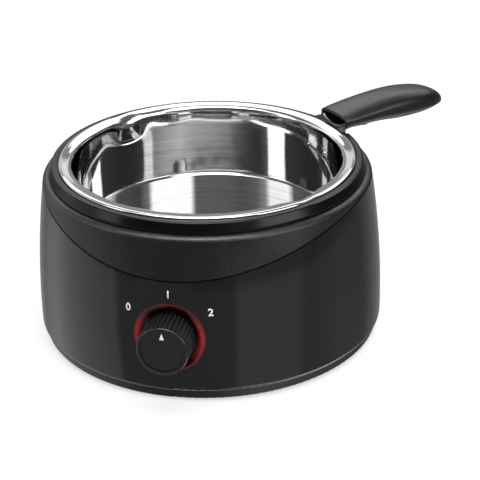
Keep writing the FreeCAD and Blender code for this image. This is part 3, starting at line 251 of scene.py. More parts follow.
def spun_steel():
    """Polished stainless steel, turned on a lathe: fine lines round the axis, faintly uneven."""
    item, tree, place = new_material("polished_spun_stainless_steel")
    parts = add(tree, "ShaderNodeSeparateXYZ", {"Vector": place})
    square = [add(tree, "ShaderNodeMath", {0: parts.outputs[axis], 1: parts.outputs[axis]},
                  operation="MULTIPLY") for axis in ("X", "Y")]
    total = add(tree, "ShaderNodeMath", {0: square[0].outputs[0], 1: square[1].outputs[0]},
                operation="ADD")
    radius = add(tree, "ShaderNodeMath", {0: total.outputs[0]}, operation="SQRT")
    turn = add(tree, "ShaderNodeMath", {0: parts.outputs["Y"], 1: parts.outputs["X"]},
               operation="ARCTAN2")
    slow = add(tree, "ShaderNodeMath", {0: turn.outputs[0], 1: DRAWN_MM * MM},
               operation="MULTIPLY")
    polar = add(tree, "ShaderNodeCombineXYZ", {
        "X": radius.outputs[0], "Y": slow.outputs[0], "Z": parts.outputs["Z"]})
    lines = add(tree, "ShaderNodeTexNoise", {
        "Vector": polar.outputs[0], "Scale": 1 / (LINE_MM * MM), "Detail": 4.0, "Roughness": 0.7})
    bands = add(tree, "ShaderNodeTexNoise", {
        "Vector": polar.outputs[0], "Scale": 1 / (BAND_MM * MM), "Detail": 4.0,
        "Roughness": 0.75})
    wave = add(tree, "ShaderNodeTexNoise", {
        "Vector": place, "Scale": 1 / (UNEVEN_MM * MM), "Detail": 1.0})
    tone = add(tree, "ShaderNodeValToRGB", {"Fac": bands.outputs["Fac"]})
    for stop, at, colour in zip(tone.color_ramp.elements, (0.3, 0.7), ("#BFBFBF", "#D9D9D9")):
        stop.position = at
        stop.color = linear(colour)
    shade = add(tree, "ShaderNodeMapRange", {
        "Value": lines.outputs["Fac"], "To Min": 0.02, "To Max": 0.06})
    fine = add(tree, "ShaderNodeBump", {
        "Height": lines.outputs["Fac"], "Strength": 1.0, "Distance": 0.0012 * MM})
    broad = add(tree, "ShaderNodeBump", {
        "Height": wave.outputs["Fac"], "Strength": 1.0, "Distance": 0.12 * MM,
        "Normal": fine.outputs["Normal"]})
    shader = add(tree, "ShaderNodeBsdfPrincipled", {
        "Base Color": tone.outputs["Color"], "Metallic": 1.0, "Roughness": shade.outputs["Result"],
        "Normal": broad.outputs["Normal"]})
    add(tree, "ShaderNodeOutputMaterial", {"Surface": shader.outputs[0]})
    return item


# Painted light and shade on the red lens, by its distance from the dial's axis:
# (from, to, level before, level after), in millimetres
# The dish by the knob is painted in shade, the outer ledge darker, and the rim a faint painted
# highlight all round
LENS_DISH_SHADE = (13.4, 15.4, 0.0, 1.0)
LENS_LEDGE_SHADE = (17.1, 17.5, 1.0, 0.3)
LENS_RIM_HIGHLIGHT = (16.9, 17.3, 0.0, 0.4)


def lens_red_painted_light():
    """Dished red lens with painted light: red and a faint glow at its two sides, painted shade near
    black above and below and in the dish by the knob.
    """
    item, tree, place = new_material("red_translucent_polycarbonate")
    local = add(tree, "ShaderNodeVectorMath", {0: place, 1: (0, 0, -DIAL_Z * MM)}, operation="ADD")
    flat = add(tree, "ShaderNodeVectorMath", {0: local.outputs[0], 1: (1, 0, 1)},
               operation="MULTIPLY")
    radius = add(tree, "ShaderNodeVectorMath", {0: flat.outputs[0]}, operation="LENGTH")
    parts = add(tree, "ShaderNodeSeparateXYZ", {"Vector": local.outputs[0]})
    side = add(tree, "ShaderNodeMath", {0: parts.outputs["X"]}, operation="ABSOLUTE")
    turn = add(tree, "ShaderNodeMath", {0: side.outputs[0], 1: radius.outputs["Value"]},
               operation="DIVIDE")
    # Painted light: the lens is red towards its two sides, with painted shade above and below
    near = add(tree, "ShaderNodeMapRange", {
        "Value": turn.outputs[0], "From Min": 0.66, "From Max": 1.0})
    dish, ledge, rim = [add(tree, "ShaderNodeMapRange", {
        "Value": radius.outputs["Value"], "From Min": low * MM, "From Max": high * MM,
        "To Min": before, "To Max": after})
        for low, high, before, after in (LENS_DISH_SHADE, LENS_LEDGE_SHADE, LENS_RIM_HIGHLIGHT)]
    cloud = add(tree, "ShaderNodeTexNoise", {
        "Vector": place, "Scale": 1 / (5 * MM), "Detail": 2.0})
    uneven = add(tree, "ShaderNodeMapRange", {
        "Value": cloud.outputs["Fac"], "To Min": 0.75, "To Max": 1.15})
    lit = near.outputs["Result"]
    for kind, share in (("MULTIPLY", dish), ("MULTIPLY", ledge), ("MAXIMUM", rim),
                        ("MULTIPLY", uneven)):
        lit = add(tree, "ShaderNodeMath", {0: lit, 1: share.outputs["Result"]},
                  operation=kind).outputs[0]
    tint = add(tree, "ShaderNodeMix", {0: lit, 6: linear("#0C0505"), 7: linear("#822020")},
               data_type="RGBA").outputs[2]
    # The painted light also sets a faint glow
    shader = add(tree, "ShaderNodeBsdfPrincipled", {
        "Base Color": tint, "Roughness": 0.12, "IOR": 1.58, "Emission Color": tint,
        "Emission Strength": 0.22})
    add(tree, "ShaderNodeOutputMaterial", {"Surface": shader.outputs[0]})
    return item


def simple(name, colour, rough, grain_mm=1.0, bump_mm=0.01, **extra):
    """A finish for the small pieces: one colour, with a fine grain in its tone and surface."""
    item, tree, place = new_material(name)
    grain = add(tree, "ShaderNodeTexNoise", {
        "Vector": place, "Scale": 1 / (grain_mm * MM), "Detail": 2.0})
    ramp = add(tree, "ShaderNodeValToRGB", {"Fac": grain.outputs["Fac"]})
    for stop, factor in zip(ramp.color_ramp.elements, (0.85, 1.12)):
        stop.color = toned(linear(colour), factor)
    bump = add(tree, "ShaderNodeBump", {
        "Height": grain.outputs["Fac"], "Strength": 1.0, "Distance": bump_mm * MM})
    shader = add(tree, "ShaderNodeBsdfPrincipled", {
        "Base Color": ramp.outputs["Color"], "Roughness": rough, "Normal": bump.outputs["Normal"],
        **extra})
    add(tree, "ShaderNodeOutputMaterial", {"Surface": shader.outputs[0]})
    return item


# Polished ABS: black and mirror-like, with reflections that wander a little on their way down
gloss_abs = plastic("gloss_black_abs", "#161617", 0.07, 0.5, 0.0005, wave_bump=0.015, mottle=0.03)
# Spark-eroded ABS: a pebbled skin that scatters light. The real grain is about 0.3 mm across and
# is drawn coarser, so that it shows
spark_abs = plastic("spark_textured_black_abs", "#131314", 0.38, 0.9, 0.09, mottle=0.2)
# Moulded polypropylene: satin on the pan, polished to a narrow highlight on the seat ring, which is
# drawn near black with its reflection turned down as painted shade under the bowl's rim
satin_pp = plastic("satin_black_polypropylene", "#171718", 0.36, 0.4, 0.008, mottle=0.08)
# Seat ring: near black and with a weak reflection, as painted shade
collar_pp_painted_shade = plastic("polished_black_polypropylene", "#080808", 0.2, 0.4, 0.001, mottle=0.05,
                    shine=0.2)
# Heat-proof phenolic: a dull satin that shows the grip's crown as a soft light streak
satin_phenolic = plastic("satin_black_phenolic", "#121212", 0.32, 0.35, 0.008, mottle=0.08,
                         ior=1.42)
# The knob's ABS: half gloss, with its ribs drawn a lighter grey as a painted highlight
knob_abs = plastic("satin_black_knob_abs", "#1A1A1B", 0.18, 0.35, 0.004, mottle=0.08)
# Ribs: a lighter grey as a painted highlight on the knob's side
rib_abs_painted_highlight = plastic("worn_knob_ribs_abs", "#29292A", 0.35, 0.35, 0.006, mottle=0.08)
# Rubber: dull, with a coarse skin
foot_rubber = simple("grey_black_rubber", "#262626", 0.8, grain_mm=0.8, bump_mm=0.03)
# Spun steel: a bright mirror broken into fine level lines
steel = spun_steel()
# Pressed, plated and turned metals: soft reflections drawn out along the working lines
aluminium = metal("pressed_aluminium", "#C9C9C8", 0.32, 0.5, 0.006)
zinc = metal("zinc_plated_steel", "#B0B1B0", 0.3, 0.5, 0.006)
brass = metal("turned_brass", "#C9A560", 0.25, 0.4, 0.004)
# Baked paint: dark grey with a slight orange peel
black_paint = plastic("black_baked_paint", "#232324", 0.35, 0.8, 0.01, mottle=0.06)
# Polycarbonate over small lamps: deep red, made to glow at the two sides by painted light, with
# painted shade above and below
red_lens_painted_light = lens_red_painted_light()
# The next nine are inside the body and show only when it is taken apart.
# Mica: a warm tan board with faint flecks
mica = simple("mica_board", "#B3A07A", 0.5)
# Ceramic fibre: chalk white and rough, without any shine
wool = simple("ceramic_fibre_pad", "#E3E0D8", 0.95, grain_mm=0.6, bump_mm=0.2)
# Moulded phenolic: dark brown and half dull
phenolic = simple("brown_phenolic", "#3A2518", 0.4)
# Woven glass fibre: off-white, with a fuzzy surface
sleeve_cloth = simple("glass_fibre_sleeve", "#DAD5C8", 0.7, grain_mm=0.5, bump_mm=0.05)
# Circuit board under its lacquer: an even dark green
board = simple("green_circuit_board", "#1D4A2C", 0.45)
# Lamp glass: clear, with a faint warm tint
lamp_glass = simple("clear_lamp_glass", "#F0E8DC", 0.05, **{"Transmission Weight": 0.9})
# Moulded nylon: half dull, black on the switch and milky white on the terminal block
switch_nylon = simple("black_nylon", "#1C1C1E", 0.4)
block_nylon = simple("white_nylon", "#E6E6E0", 0.4)
# Silicone rubber: cream leads with a soft shine
lead_silicone = simple("silicone_lead", "#CFCBC0", 0.55)
# Pad printing ink: flat white with a faint tooth
white_print = simple("white_pad_print", "#F2F2F2", 0.5, grain_mm=0.3, bump_mm=0.002)

FINISHES = {
    "base_plate": satin_pp, "rubber_feet": foot_rubber, "base_screws": zinc,
    "outer_sleeve": gloss_abs, "upper_shell": spark_abs, "seat_collar": collar_pp_painted_shade,
    "heating_well": aluminium, "well_studs": zinc, "mica_heater": mica, "insulation_pad": wool,
    "clamp_plate": zinc, "clamp_nuts": zinc, "thermostat": phenolic, "thermostat_screws": zinc,
    "thermal_fuse": sleeve_cloth, "fuse_clip": zinc, "dial_bezel": red_lens_painted_light,
    "lamp_board": board, "indicator_lamps": lamp_glass, "rotary_switch": switch_nylon,
    "switch_nut": brass, "switch_bracket": zinc, "bracket_screws": zinc,
    "cord_gland": foot_rubber, "terminal_block": block_nylon, "terminal_screws": brass,
    "wiring_leads": lead_silicone, "knob": knob_abs, "knob_cap": knob_abs,
    "switch_shaft": brass, "knob_spring_clip": zinc, "bowl": steel,
    "handle_bracket": black_paint, "handle_grip": satin_phenolic, "handle_screw": zinc,
}
for label, finish in FINISHES.items():
    mesh = nodes[label].data
    mesh.materials.clear()
    mesh.materials.append(finish)


# Bowl: closed section as (radius, height), from the middle of the floor up the inside, over the
# flange and down the outside

BOWL_FLOOR_Z = 54.0
BOWL_UNDER_Z = 53.3
POLE_R = 0.01
INNER_CORNER = ((65.8, 55.3), 1.3, -90, -4.3, 8)
WALL_FOOT = [(67.12, 55.55), (67.18, 56.4)]
WALL_TOP = (69.8, 91.4)
FLANGE_TOP = [(70.05, 92.3), (70.7, 93.05), (71.6, 93.5), (73.0, 93.6), (74.6, 93.75),
              (75.6, 93.85)]
FLANGE_ROLL = [(76.3, 93.83), (76.85, 93.5), (77.1, 92.95), (76.95, 92.5), (76.5, 92.3),
               (75.9, 92.35), (75.4, 92.6)]
FLANGE_UNDER = [(75.4, 93.0), (73.5, 92.9), (71.9, 92.75), (71.1, 92.3), (70.6, 91.4)]
OUTER_WALL = ((70.5, 91.4), (69.0, 59.0))
OUTER_CORNER = ((63.3, 59.0), 5.7, -2.5, -90, 10)

LIP_TURN = math.radians(8.5)  # the lips stand this far past square to the handle
LIP_HALF = 14.5  # half a lip's width where it leaves the wall
LIP_HALF_AT_EDGE = 8.0  # and where it runs out on the flange
LIP_FLANGE = (69.5, 74.0)  # radii between which the lip fades into the flange
LIP_RISE = (78.0, 93.0)  # heights between which it grows
LIP_FOOT_Z = 76
LIP_PUSH = 0.7
LIP_DIP = 1.8
LIP_DIP_AT_EDGE = 0.35
LIP_CREASE = 0.1
BOWL_COLUMNS = 288
MERGE = 0.03 * MM  # closes the two poles


def bowl_profile():
    """Closed section of the bowl."""
    inner = [(r, BOWL_FLOOR_Z) for r in (POLE_R, 20, 40, 55, 63.0, 65.4, 65.8)]
    inner += arc(*INNER_CORNER) + WALL_FOOT + spread(WALL_FOOT[-1], WALL_TOP, 12)
    outer = spread(*OUTER_WALL, 8) + arc(*OUTER_CORNER)
    under = [(r, BOWL_UNDER_Z) for r in (55, 40, 20, POLE_R)]
    return inner + FLANGE_TOP + FLANGE_ROLL + FLANGE_UNDER + outer + under


def lip_shape(radius, height, angle):
    """Dip the rim and push the wall out at the two pouring lips."""
    away = math.pi / 2 - abs(angle % math.pi - math.pi / 2)
    along = radius * away
    share = smooth_step(radius, *LIP_FLANGE)
    half = LIP_HALF + (LIP_HALF_AT_EDGE - LIP_HALF) * share
    if along >= half * 1.6 or height < LIP_FOOT_Z:
        return radius, height
    fall = 1 - smooth_step(along, half * 0.1, half)
    crease = LIP_CREASE * math.exp(-((along - half * 1.15) / (half * 0.32)) ** 2)
    rise = smooth_step(height, *LIP_RISE)
    push = (LIP_PUSH * fall - crease) * (1 - share)
    dip = (LIP_DIP * fall - crease) * (1 - share) + LIP_DIP_AT_EDGE * fall * share
    return radius + push * rise, height - dip * rise


def make_bowl():
    """Spun bowl as one closed skin with its two lips."""
    profile = bowl_profile()
    verts = []
    for radius, height in profile:
        for j in range(BOWL_COLUMNS):
            angle = 2 * math.pi * j / BOWL_COLUMNS
            r, z = lip_shape(radius, height, angle)
            turned = angle + HANDLE_TURN + LIP_TURN + math.pi / 2
            verts.append((r * math.cos(turned), r * math.sin(turned), z))
    skin = mesh_object("bowl_skin", verts, grid_faces(len(profile), BOWL_COLUMNS))
    mesh = skin.data
    work = bmesh.new()
    work.from_mesh(mesh)
    bmesh.ops.remove_doubles(work, verts=work.verts, dist=MERGE)
    bmesh.ops.holes_fill(work, edges=[e for e in work.edges if e.is_boundary])
    bmesh.ops.recalc_face_normals(work, faces=work.faces)
    work.to_mesh(mesh)
    work.free()
    mesh.polygons.foreach_set("use_smooth", [True] * len(mesh.polygons))
    mesh.materials.append(steel)
    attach(skin, "bowl")
    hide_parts("bowl")


# Printed marks

SLEEVE_LOW = Vector((91.0, 8.0))  # the side's lower and upper ends, as (radius, height)
SLEEVE_HIGH = Vector((85.4, 85.0))
SLEEVE_ARC = 470.0
NUMERALS = (("numeral_0", "0", -20.6, 49.0), ("numeral_1", "1", 0.0, 58.2),
            ("numeral_2", "2", 20.6, 49.6))
NUMERAL_CAP = 3.7
CAP_SHARE = 0.70  # a numeral's height in the font's own size
STROKE = 0.022  # how much each stroke is thickened, in the same measure
PRINT_TOP = 0.06
PRINT_FOOT = 0.005


def side_radius(height):
    """Outer radius of the body at a height: the arc through its two ends."""
    chord = SLEEVE_HIGH - SLEEVE_LOW
    inward = Vector((-chord.y, chord.x)).normalized()
    reach = math.sqrt(SLEEVE_ARC ** 2 - chord.length ** 2 / 4)
    centre = (SLEEVE_LOW + SLEEVE_HIGH) / 2 + inward * reach
    return centre.x + math.sqrt(SLEEVE_ARC ** 2 - (height - centre.y) ** 2)


def printed(name, text, across, height):
    """White numeral wrapped on the sleeve: across is the distance round from the middle."""
    curve = bpy.data.curves.new(name, "FONT")
    curve.body = text
    curve.align_x = "CENTER"
    curve.align_y = "CENTER"
    curve.size = NUMERAL_CAP / CAP_SHARE
    curve.resolution_u = 6
    curve.offset = STROKE * curve.size
    mesh = plain_mesh(link(bpy.data.objects.new(name + "_flat", curve)))
    work = bmesh.new()
    work.from_mesh(mesh)
    bmesh.ops.triangulate(work, faces=work.faces)
    for _ in range(2):
        bmesh.ops.subdivide_edges(work, edges=work.edges, cuts=1)
    lifted = bmesh.ops.extrude_face_region(work, geom=work.faces[:])
    top = {v for v in lifted["geom"] if isinstance(v, bmesh.types.BMVert)}
    for vert in work.verts:
        z = height + vert.co.y
        around = (across + vert.co.x) / side_radius(height)
        r = side_radius(z) + (PRINT_TOP if vert in top else PRINT_FOOT)
        vert.co = Vector((r * math.sin(around), -r * math.cos(around), z)) * MM
    bmesh.ops.recalc_face_normals(work, faces=work.faces)
    work.to_mesh(mesh)
    work.free()
    obj = link(bpy.data.objects.new(name, mesh))
    mesh.materials.clear()
    mesh.materials.append(white_print)
    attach(obj, "housing")


def make_pointer():
    """White triangle printed on the knob's face, pointing up at rest."""
    face_y = -103.4
    z = DIAL_Z + 8.0
    half = 1.2
    tall = 3.3
    ink = 0.05
    flat = [(-half, face_y, z - tall / 2), (half, face_y, z - tall / 2), (0, face_y, z + tall / 2)]
    front = [(x, y - ink, z) for x, y, z in flat]
    faces = [(0, 2, 1), (3, 4, 5), (0, 1, 4, 3), (1, 2, 5, 4), (2, 0, 3, 5)]
    obj = mesh_object("pointer_mark", flat + front, faces, smooth=False)
    obj.data.materials.append(white_print)
    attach(obj, "knob")


# Small repeated pieces and the bead, made by Geometry Nodes

def new_tree(name, *sizes):
    """Start a tree with named inputs: the given sizes, a place, a turn and a material."""
    tree = bpy.data.node_groups.new(name, "GeometryNodeTree")
    kinds = {size: "NodeSocketFloat" for size in sizes}
    kinds.update({"Place": "NodeSocketVector", "Turn": "NodeSocketVector",
                  "Material": "NodeSocketMaterial"})
    if "Count" in kinds:
        kinds["Count"] = "NodeSocketInt"
    for label, kind in kinds.items():
        tree.interface.new_socket(label, in_out="INPUT", socket_type=kind)
    tree.interface.new_socket("Geometry", in_out="OUTPUT", socket_type="NodeSocketGeometry")
    return tree, add(tree, "NodeGroupInput").outputs


def end_tree(tree, given, shape):
    """Put the shape in place, make it real, give it its material and hand it out."""
    put = add(tree, "GeometryNodeTransform", {
        "Geometry": shape, "Translation": given["Place"], "Rotation": given["Turn"]})
    real = add(tree, "GeometryNodeRealizeInstances", {"Geometry": put.outputs[0]})
    coated = add(tree, "GeometryNodeSetMaterial", {
        "Geometry": real.outputs[0], "Material": given["Material"]})
    add(tree, "NodeGroupOutput", {"Geometry": coated.outputs[0]})
    return tree


def arc_tree():
    """Node tree: a round bead along an arc, the arc hanging below its centre."""
    tree, given = new_tree("bead_on_an_arc", "Arc Radius", "Start", "Sweep", "Bead Radius")
    path = add(tree, "GeometryNodeCurveArc", {
        "Resolution": 33, "Radius": given["Arc Radius"], "Start Angle": given["Start"],
        "Sweep Angle": given["Sweep"]})
    section = add(tree, "GeometryNodeCurvePrimitiveCircle", {
        "Resolution": 12, "Radius": given["Bead Radius"]})
    bead = add(tree, "GeometryNodeCurveToMesh", {
        "Curve": path.outputs[0], "Profile Curve": section.outputs[0], "Fill Caps": True})
    return end_tree(tree, given, bead.outputs[0])


def bars_tree():
    """Node tree: short round bars at equal steps round a ring, each leaning from its axis."""
    tree, given = new_tree("ring_of_bars", "Count", "First Angle", "Step", "Ring Radius", "Lean",
                           "Bar Radius", "Bar Length")
    index = add(tree, "GeometryNodeInputIndex").outputs[0]
    steps = add(tree, "ShaderNodeMath", {0: index, 1: given["Step"]}, operation="MULTIPLY")
    angle = add(tree, "ShaderNodeMath", {0: steps.outputs[0], 1: given["First Angle"]},
                operation="ADD").outputs[0]
    sides = []
    for wave in ("COSINE", "SINE"):
        side = add(tree, "ShaderNodeMath", {0: angle}, operation=wave)
        sides.append(add(tree, "ShaderNodeMath", {0: side.outputs[0], 1: given["Ring Radius"]},
                         operation="MULTIPLY").outputs[0])
    spot = add(tree, "ShaderNodeCombineXYZ", {"X": sides[0], "Y": sides[1]})
    lean = add(tree, "ShaderNodeCombineXYZ", {"Y": given["Lean"], "Z": angle})
    points = add(tree, "GeometryNodePoints", {
        "Count": given["Count"], "Position": spot.outputs[0]})
    bar = add(tree, "GeometryNodeMeshCylinder", {
        "Vertices": 16, "Radius": given["Bar Radius"], "Depth": given["Bar Length"]})
    bars = add(tree, "GeometryNodeInstanceOnPoints", {
        "Points": points.outputs[0], "Instance": bar.outputs["Mesh"],
        "Rotation": lean.outputs[0]})
    return end_tree(tree, given, bars.outputs[0])


def from_tree(tree, name, body, slot, **values):
    """Evaluate a tree with its inputs set, and keep the result as a plain mesh riding a body."""
    empty = bpy.data.meshes.new(name + "_source")
    source = link(bpy.data.objects.new(name + "_source", empty))
    modifier = source.modifiers.new(tree.name, "NODES")
    modifier.node_group = tree
    for item in tree.interface.items_tree:
        if item.in_out == "INPUT":
            modifier[item.identifier] = values[item.name.replace(" ", "_").lower()]
    mesh = plain_mesh(source)
    mesh.name = name
    obj = link(bpy.data.objects.new(name, mesh))
    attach(obj, body)


def make_small_pieces():
    """The knob's ribs, the bracket's weld marks, and a light zinc bead on its trough's edge as a
    painted highlight.
    """
    bars = bars_tree()
    bead = arc_tree()
    from_tree(bars, "knob_ribs", "knob", "knob_black", count=36, first_angle=math.radians(5),
              step=math.radians(10), ring_radius=12.45 * MM, lean=0.0, bar_radius=0.42 * MM,
              bar_length=14.2 * MM, place=(0, -95.7 * MM, DIAL_Z * MM), turn=(math.pi / 2, 0, 0),
              material=rib_abs_painted_highlight)
    apart = math.radians(12.6)
    from_tree(bars, "weld_marks", "bowl", "spun_steel", count=2,
              first_angle=HANDLE_TURN - apart / 2, step=apart, ring_radius=68.97 * MM,
              lean=math.pi / 2, bar_radius=1.3 * MM, bar_length=0.3 * MM,
              place=(0, 0, 80.3 * MM), turn=(0, 0, 0), material=steel)
    # Painted highlight: a light zinc bead across the bracket's trough, where the grip begins
    mouth_x = 80.4
    trough_centre_z = 108.02
    half_sweep = math.radians(37)
    from_tree(bead, "trough_edge", "bowl", "zinc_steel", arc_radius=15.72 * MM,
              start=-math.pi / 2 - half_sweep, sweep=half_sweep * 2, bead_radius=0.3 * MM,
              place=(mouth_x * math.cos(HANDLE_TURN) * MM, mouth_x * math.sin(HANDLE_TURN) * MM,
                     trough_centre_z * MM),
              turn=(math.pi / 2, 0, HANDLE_TURN + math.pi / 2), material=zinc)


# Floor and light

FLOOR_HALF = 3000
FLOOR_Z = -0.05


def make_floor():
    """Pale floor: near white with a soft shadow, white far off, and painted shade under the object,
    where its glow is cut off.
    """
    corners = [(x * FLOOR_HALF, y * FLOOR_HALF, FLOOR_Z)
               for x, y in ((-1, -1), (1, -1), (1, 1), (-1, 1))]
    floor = mesh_object("floor", corners, [(0, 1, 2, 3)], smooth=False)
    item, tree, place = new_material("pale_floor")
    path = add(tree, "ShaderNodeLightPath")
    plain = add(tree, "ShaderNodeBsdfDiffuse", {"Color": linear("#E6E6E6")})
    thin = add(tree, "ShaderNodeBsdfDiffuse", {"Color": linear("#8C8C8C")})
    reach = add(tree, "ShaderNodeVectorMath", {0: place}, operation="LENGTH").outputs["Value"]
    # Painted shade: the floor's glow is cut off within 80 to 90 mm of the axis, under the body
    under = add(tree, "ShaderNodeMapRange", {
        "Value": reach, "From Min": 80 * MM, "From Max": 90 * MM, "To Max": 0.78})
    away = add(tree, "ShaderNodeMapRange", {
        "Value": reach, "From Min": 250 * MM, "From Max": 900 * MM})
    glow = add(tree, "ShaderNodeEmission", {"Color": grey(1), "Strength": under.outputs["Result"]})
    white = add(tree, "ShaderNodeEmission", {"Color": grey(1), "Strength": 1.0})
    near = add(tree, "ShaderNodeAddShader", {0: thin.outputs[0], 1: glow.outputs[0]})
    both = add(tree, "ShaderNodeMixShader", {
        0: away.outputs["Result"], 1: near.outputs[0], 2: white.outputs[0]})
    mixed = add(tree, "ShaderNodeMixShader", {
        0: path.outputs["Is Camera Ray"], 1: plain.outputs[0], 2: both.outputs[0]})
    add(tree, "ShaderNodeOutputMaterial", {"Surface": mixed.outputs[0]})
    floor.data.materials.append(item)
    floor.visible_glossy = False


def height_of(degrees):
    """Z of a direction that many degrees above the horizon."""
    return math.sin(math.radians(degrees))


# The studio round the object, as gloss sees it. Three rings of (compass angle in degrees from +X,
# brightness): panels that stand on the table, panels higher up, and the table itself
PANELS = [(-180, 1.1), (-166, 0.8), (-160, 0.9), (-158, 2.4), (-144, 2.4), (-140, 0.14),
          (-120, 0.07), (-90, 0.07), (-42, 0.12), (-38, 4.4), (-10, 4.6), (-6, 0.3), (9, 0.1),
          (24, 0.13), (38, 0.22), (53, 0.38), (67, 0.7), (81, 0.82), (95, 0.97), (123, 1.15),
          (150, 1.6), (165, 1.3), (180, 1.1)]
UPPER = [(-180, 0.2), (-166, 0.25), (-159, 2.3), (-139, 2.2), (-134, 0.6), (-125, 0.26),
         (-111, 0.19), (-95, 0.24), (-64, 0.26), (-59, 2.6), (-22, 2.6), (-17, 0.4), (-7, 0.12),
         (30, 0.2), (180, 0.2)]
TABLE = [(-180, 0.9), (-162, 0.8), (-142, 0.7), (-138, 0.3), (-75, 0.26), (-62, 0.3), (-58, 0.62),
         (-18, 0.5), (-12, 0.3), (30, 0.35), (60, 0.8), (110, 1.0), (180, 0.9)]
# The backdrop behind the object: (degrees above the horizon, factor)
BACKDROP = [(0, 0.36), (19.6, 0.36), (20.6, 1.0), (22.9, 1.0), (23.5, 0.3), (90, 0.3)]
# Parts of the studio: (axis of the direction, where the part begins and is full, factor outside
# and inside it)
ZONES = {
    "above_table": ("Z", -0.02, 0.05, 0.0, 1.0),
    "higher_up": ("Z", height_of(26), height_of(29), 0.0, 1.0),
    "table_far": ("Z", height_of(-17), height_of(-15.5), 1.0, 0.45),
    "table_close": ("Z", -0.58, -0.7, 0.0, 1.0),
    "table_right": ("X", 0.2, 0.45, 0.0, 4.0),
    "behind": ("Y", 0.3, 0.6, 0.0, 1.0),
    "backdrop_top": ("Z", height_of(25.2), height_of(25.9), 0.0, 1.0),
    "ceiling": ("Z", 0.7, 0.8, 0.0, 1.0),
    "front_panel": ("Z", 0.8, 0.83, 0.0, 1.0),
    "front": ("Y", -0.2, -0.28, 0.0, 1.0),
    "overhead": ("Z", 0.96, 0.975, 0.0, 1.0),
}
BACKDROP_TOP, CEILING, FRONT_PANEL, OVERHEAD = 2.6, 0.2, 12, 3.0
SOFT_LIGHT = 0.4


def level_ramp(tree, share, stops):
    """Colour ramp of (position, brightness), scaled so that it stays under 1."""
    ramp = add(tree, "ShaderNodeValToRGB", {"Fac": share})
    top = max(level for _, level in stops)
    while len(ramp.color_ramp.elements) > 1:
        ramp.color_ramp.elements.remove(ramp.color_ramp.elements[-1])
    for index, (place, level) in enumerate(stops):
        elements = ramp.color_ramp.elements
        stop = elements[0] if index == 0 else elements.new(place)
        stop.position = place
        stop.color = grey(level / top)
    return add(tree, "ShaderNodeVectorMath", {0: ramp.outputs["Color"], "Scale": top},
               operation="SCALE").outputs[0]


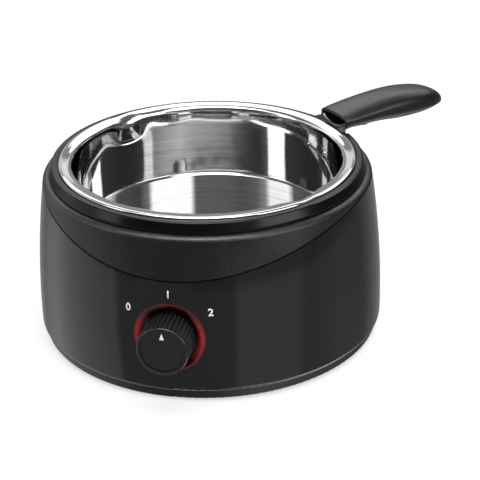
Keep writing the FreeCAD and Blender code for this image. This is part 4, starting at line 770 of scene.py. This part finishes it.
def make_world():
    """White to the camera, soft grey light, and white panels in a dark studio for gloss."""
    world = bpy.data.worlds.new("studio")
    bpy.context.scene.world = world
    world.use_nodes = True
    tree = world.node_tree
    tree.nodes.clear()
    path = add(tree, "ShaderNodeLightPath").outputs
    way = add(tree, "ShaderNodeTexCoord").outputs["Generated"]
    parts = add(tree, "ShaderNodeSeparateXYZ", {"Vector": way}).outputs
    zone = {}
    for name, (axis, low, high, outside, inside) in ZONES.items():
        zone[name] = add(tree, "ShaderNodeMapRange", {
            "Value": parts[axis], "From Min": low, "From Max": high,
            "To Min": outside, "To Max": inside}).outputs["Result"]

    # Round the compass
    turn = add(tree, "ShaderNodeMath", {0: parts["Y"], 1: parts["X"]}, operation="ARCTAN2")
    share = add(tree, "ShaderNodeMapRange", {
        "Value": turn.outputs[0], "From Min": -math.pi, "From Max": math.pi}).outputs["Result"]
    panels, upper, table = [level_ramp(tree, share, [((at + 180) / 360, v) for at, v in stops])
                            for stops in (PANELS, UPPER, TABLE)]
    # The table ends in a dark zone some way out, and is brightest close by on the right
    level = add(tree, "ShaderNodeMath", {
        0: zone["table_close"], 1: zone["table_right"], 2: zone["table_far"]},
        operation="MULTIPLY_ADD").outputs[0]
    ring = add(tree, "ShaderNodeVectorMath", {0: table, "Scale": level},
               operation="SCALE").outputs[0]
    for part, colour in (("above_table", panels), ("higher_up", upper)):
        ring = add(tree, "ShaderNodeMix", {0: zone[part], 6: ring, 7: colour},
                   data_type="RGBA").outputs[2]
    # The backdrop darkens towards the table and has a bright band
    shade = level_ramp(tree, parts["Z"], [(height_of(at), v) for at, v in BACKDROP])
    dim = add(tree, "ShaderNodeMix", {0: zone["behind"], 6: grey(1), 7: shade}, data_type="RGBA")
    sky = add(tree, "ShaderNodeVectorMath", {0: ring, 1: dim.outputs[2]},
              operation="MULTIPLY").outputs[0]
    # Above it a lit strip, then the grey ceiling with a panel in front and one overhead
    strip = add(tree, "ShaderNodeMath", {0: zone["backdrop_top"], 1: zone["behind"]},
                operation="MULTIPLY").outputs[0]
    panel = add(tree, "ShaderNodeMath", {0: zone["front_panel"], 1: zone["front"]},
                operation="MULTIPLY").outputs[0]
    for cover, level in ((strip, BACKDROP_TOP), (zone["ceiling"], CEILING), (panel, FRONT_PANEL),
                         (zone["overhead"], OVERHEAD)):
        sky = add(tree, "ShaderNodeMix", {0: cover, 6: sky, 7: grey(level)},
                  data_type="RGBA").outputs[2]

    studio = add(tree, "ShaderNodeBackground", {"Color": sky, "Strength": 1.0})
    white = add(tree, "ShaderNodeBackground", {"Color": grey(1), "Strength": 1.0})
    soft = add(tree, "ShaderNodeBackground", {"Color": grey(1), "Strength": SOFT_LIGHT})
    first = add(tree, "ShaderNodeMixShader", {
        0: path["Is Glossy Ray"], 1: soft.outputs[0], 2: studio.outputs[0]})
    seen = add(tree, "ShaderNodeMath", {0: path["Is Camera Ray"], 1: path["Is Transmission Ray"]},
               operation="MAXIMUM")
    mixed = add(tree, "ShaderNodeMixShader", {
        0: seen.outputs[0], 1: first.outputs[0], 2: white.outputs[0]})
    add(tree, "ShaderNodeOutputWorld", {"Surface": mixed.outputs[0]})


def lamp(name, spot, size, watts):
    """Large soft lamp that gloss doesn't show, aimed at the middle of the body."""
    data = bpy.data.lights.new(name, "AREA")
    data.shape = "RECTANGLE"
    data.size, data.size_y = size
    data.energy = watts
    obj = link(bpy.data.objects.new(name, data))
    obj.location = spot
    way = Vector((0, 0, CENTRE_Z)) - Vector(spot)
    obj.rotation_euler = way.to_track_quat("-Z", "Y").to_euler()
    obj.visible_glossy = False


make_bowl()
for numeral in NUMERALS:
    printed(*numeral)
make_pointer()
make_small_pieces()
make_camera()
make_floor()
make_world()
lamp("softbox_top", (0.0, 0.1, 1.3), (1.0, 1.0), 16)
lamp("softbox_right", (1.0, -0.8, 0.7), (0.8, 0.9), 10)
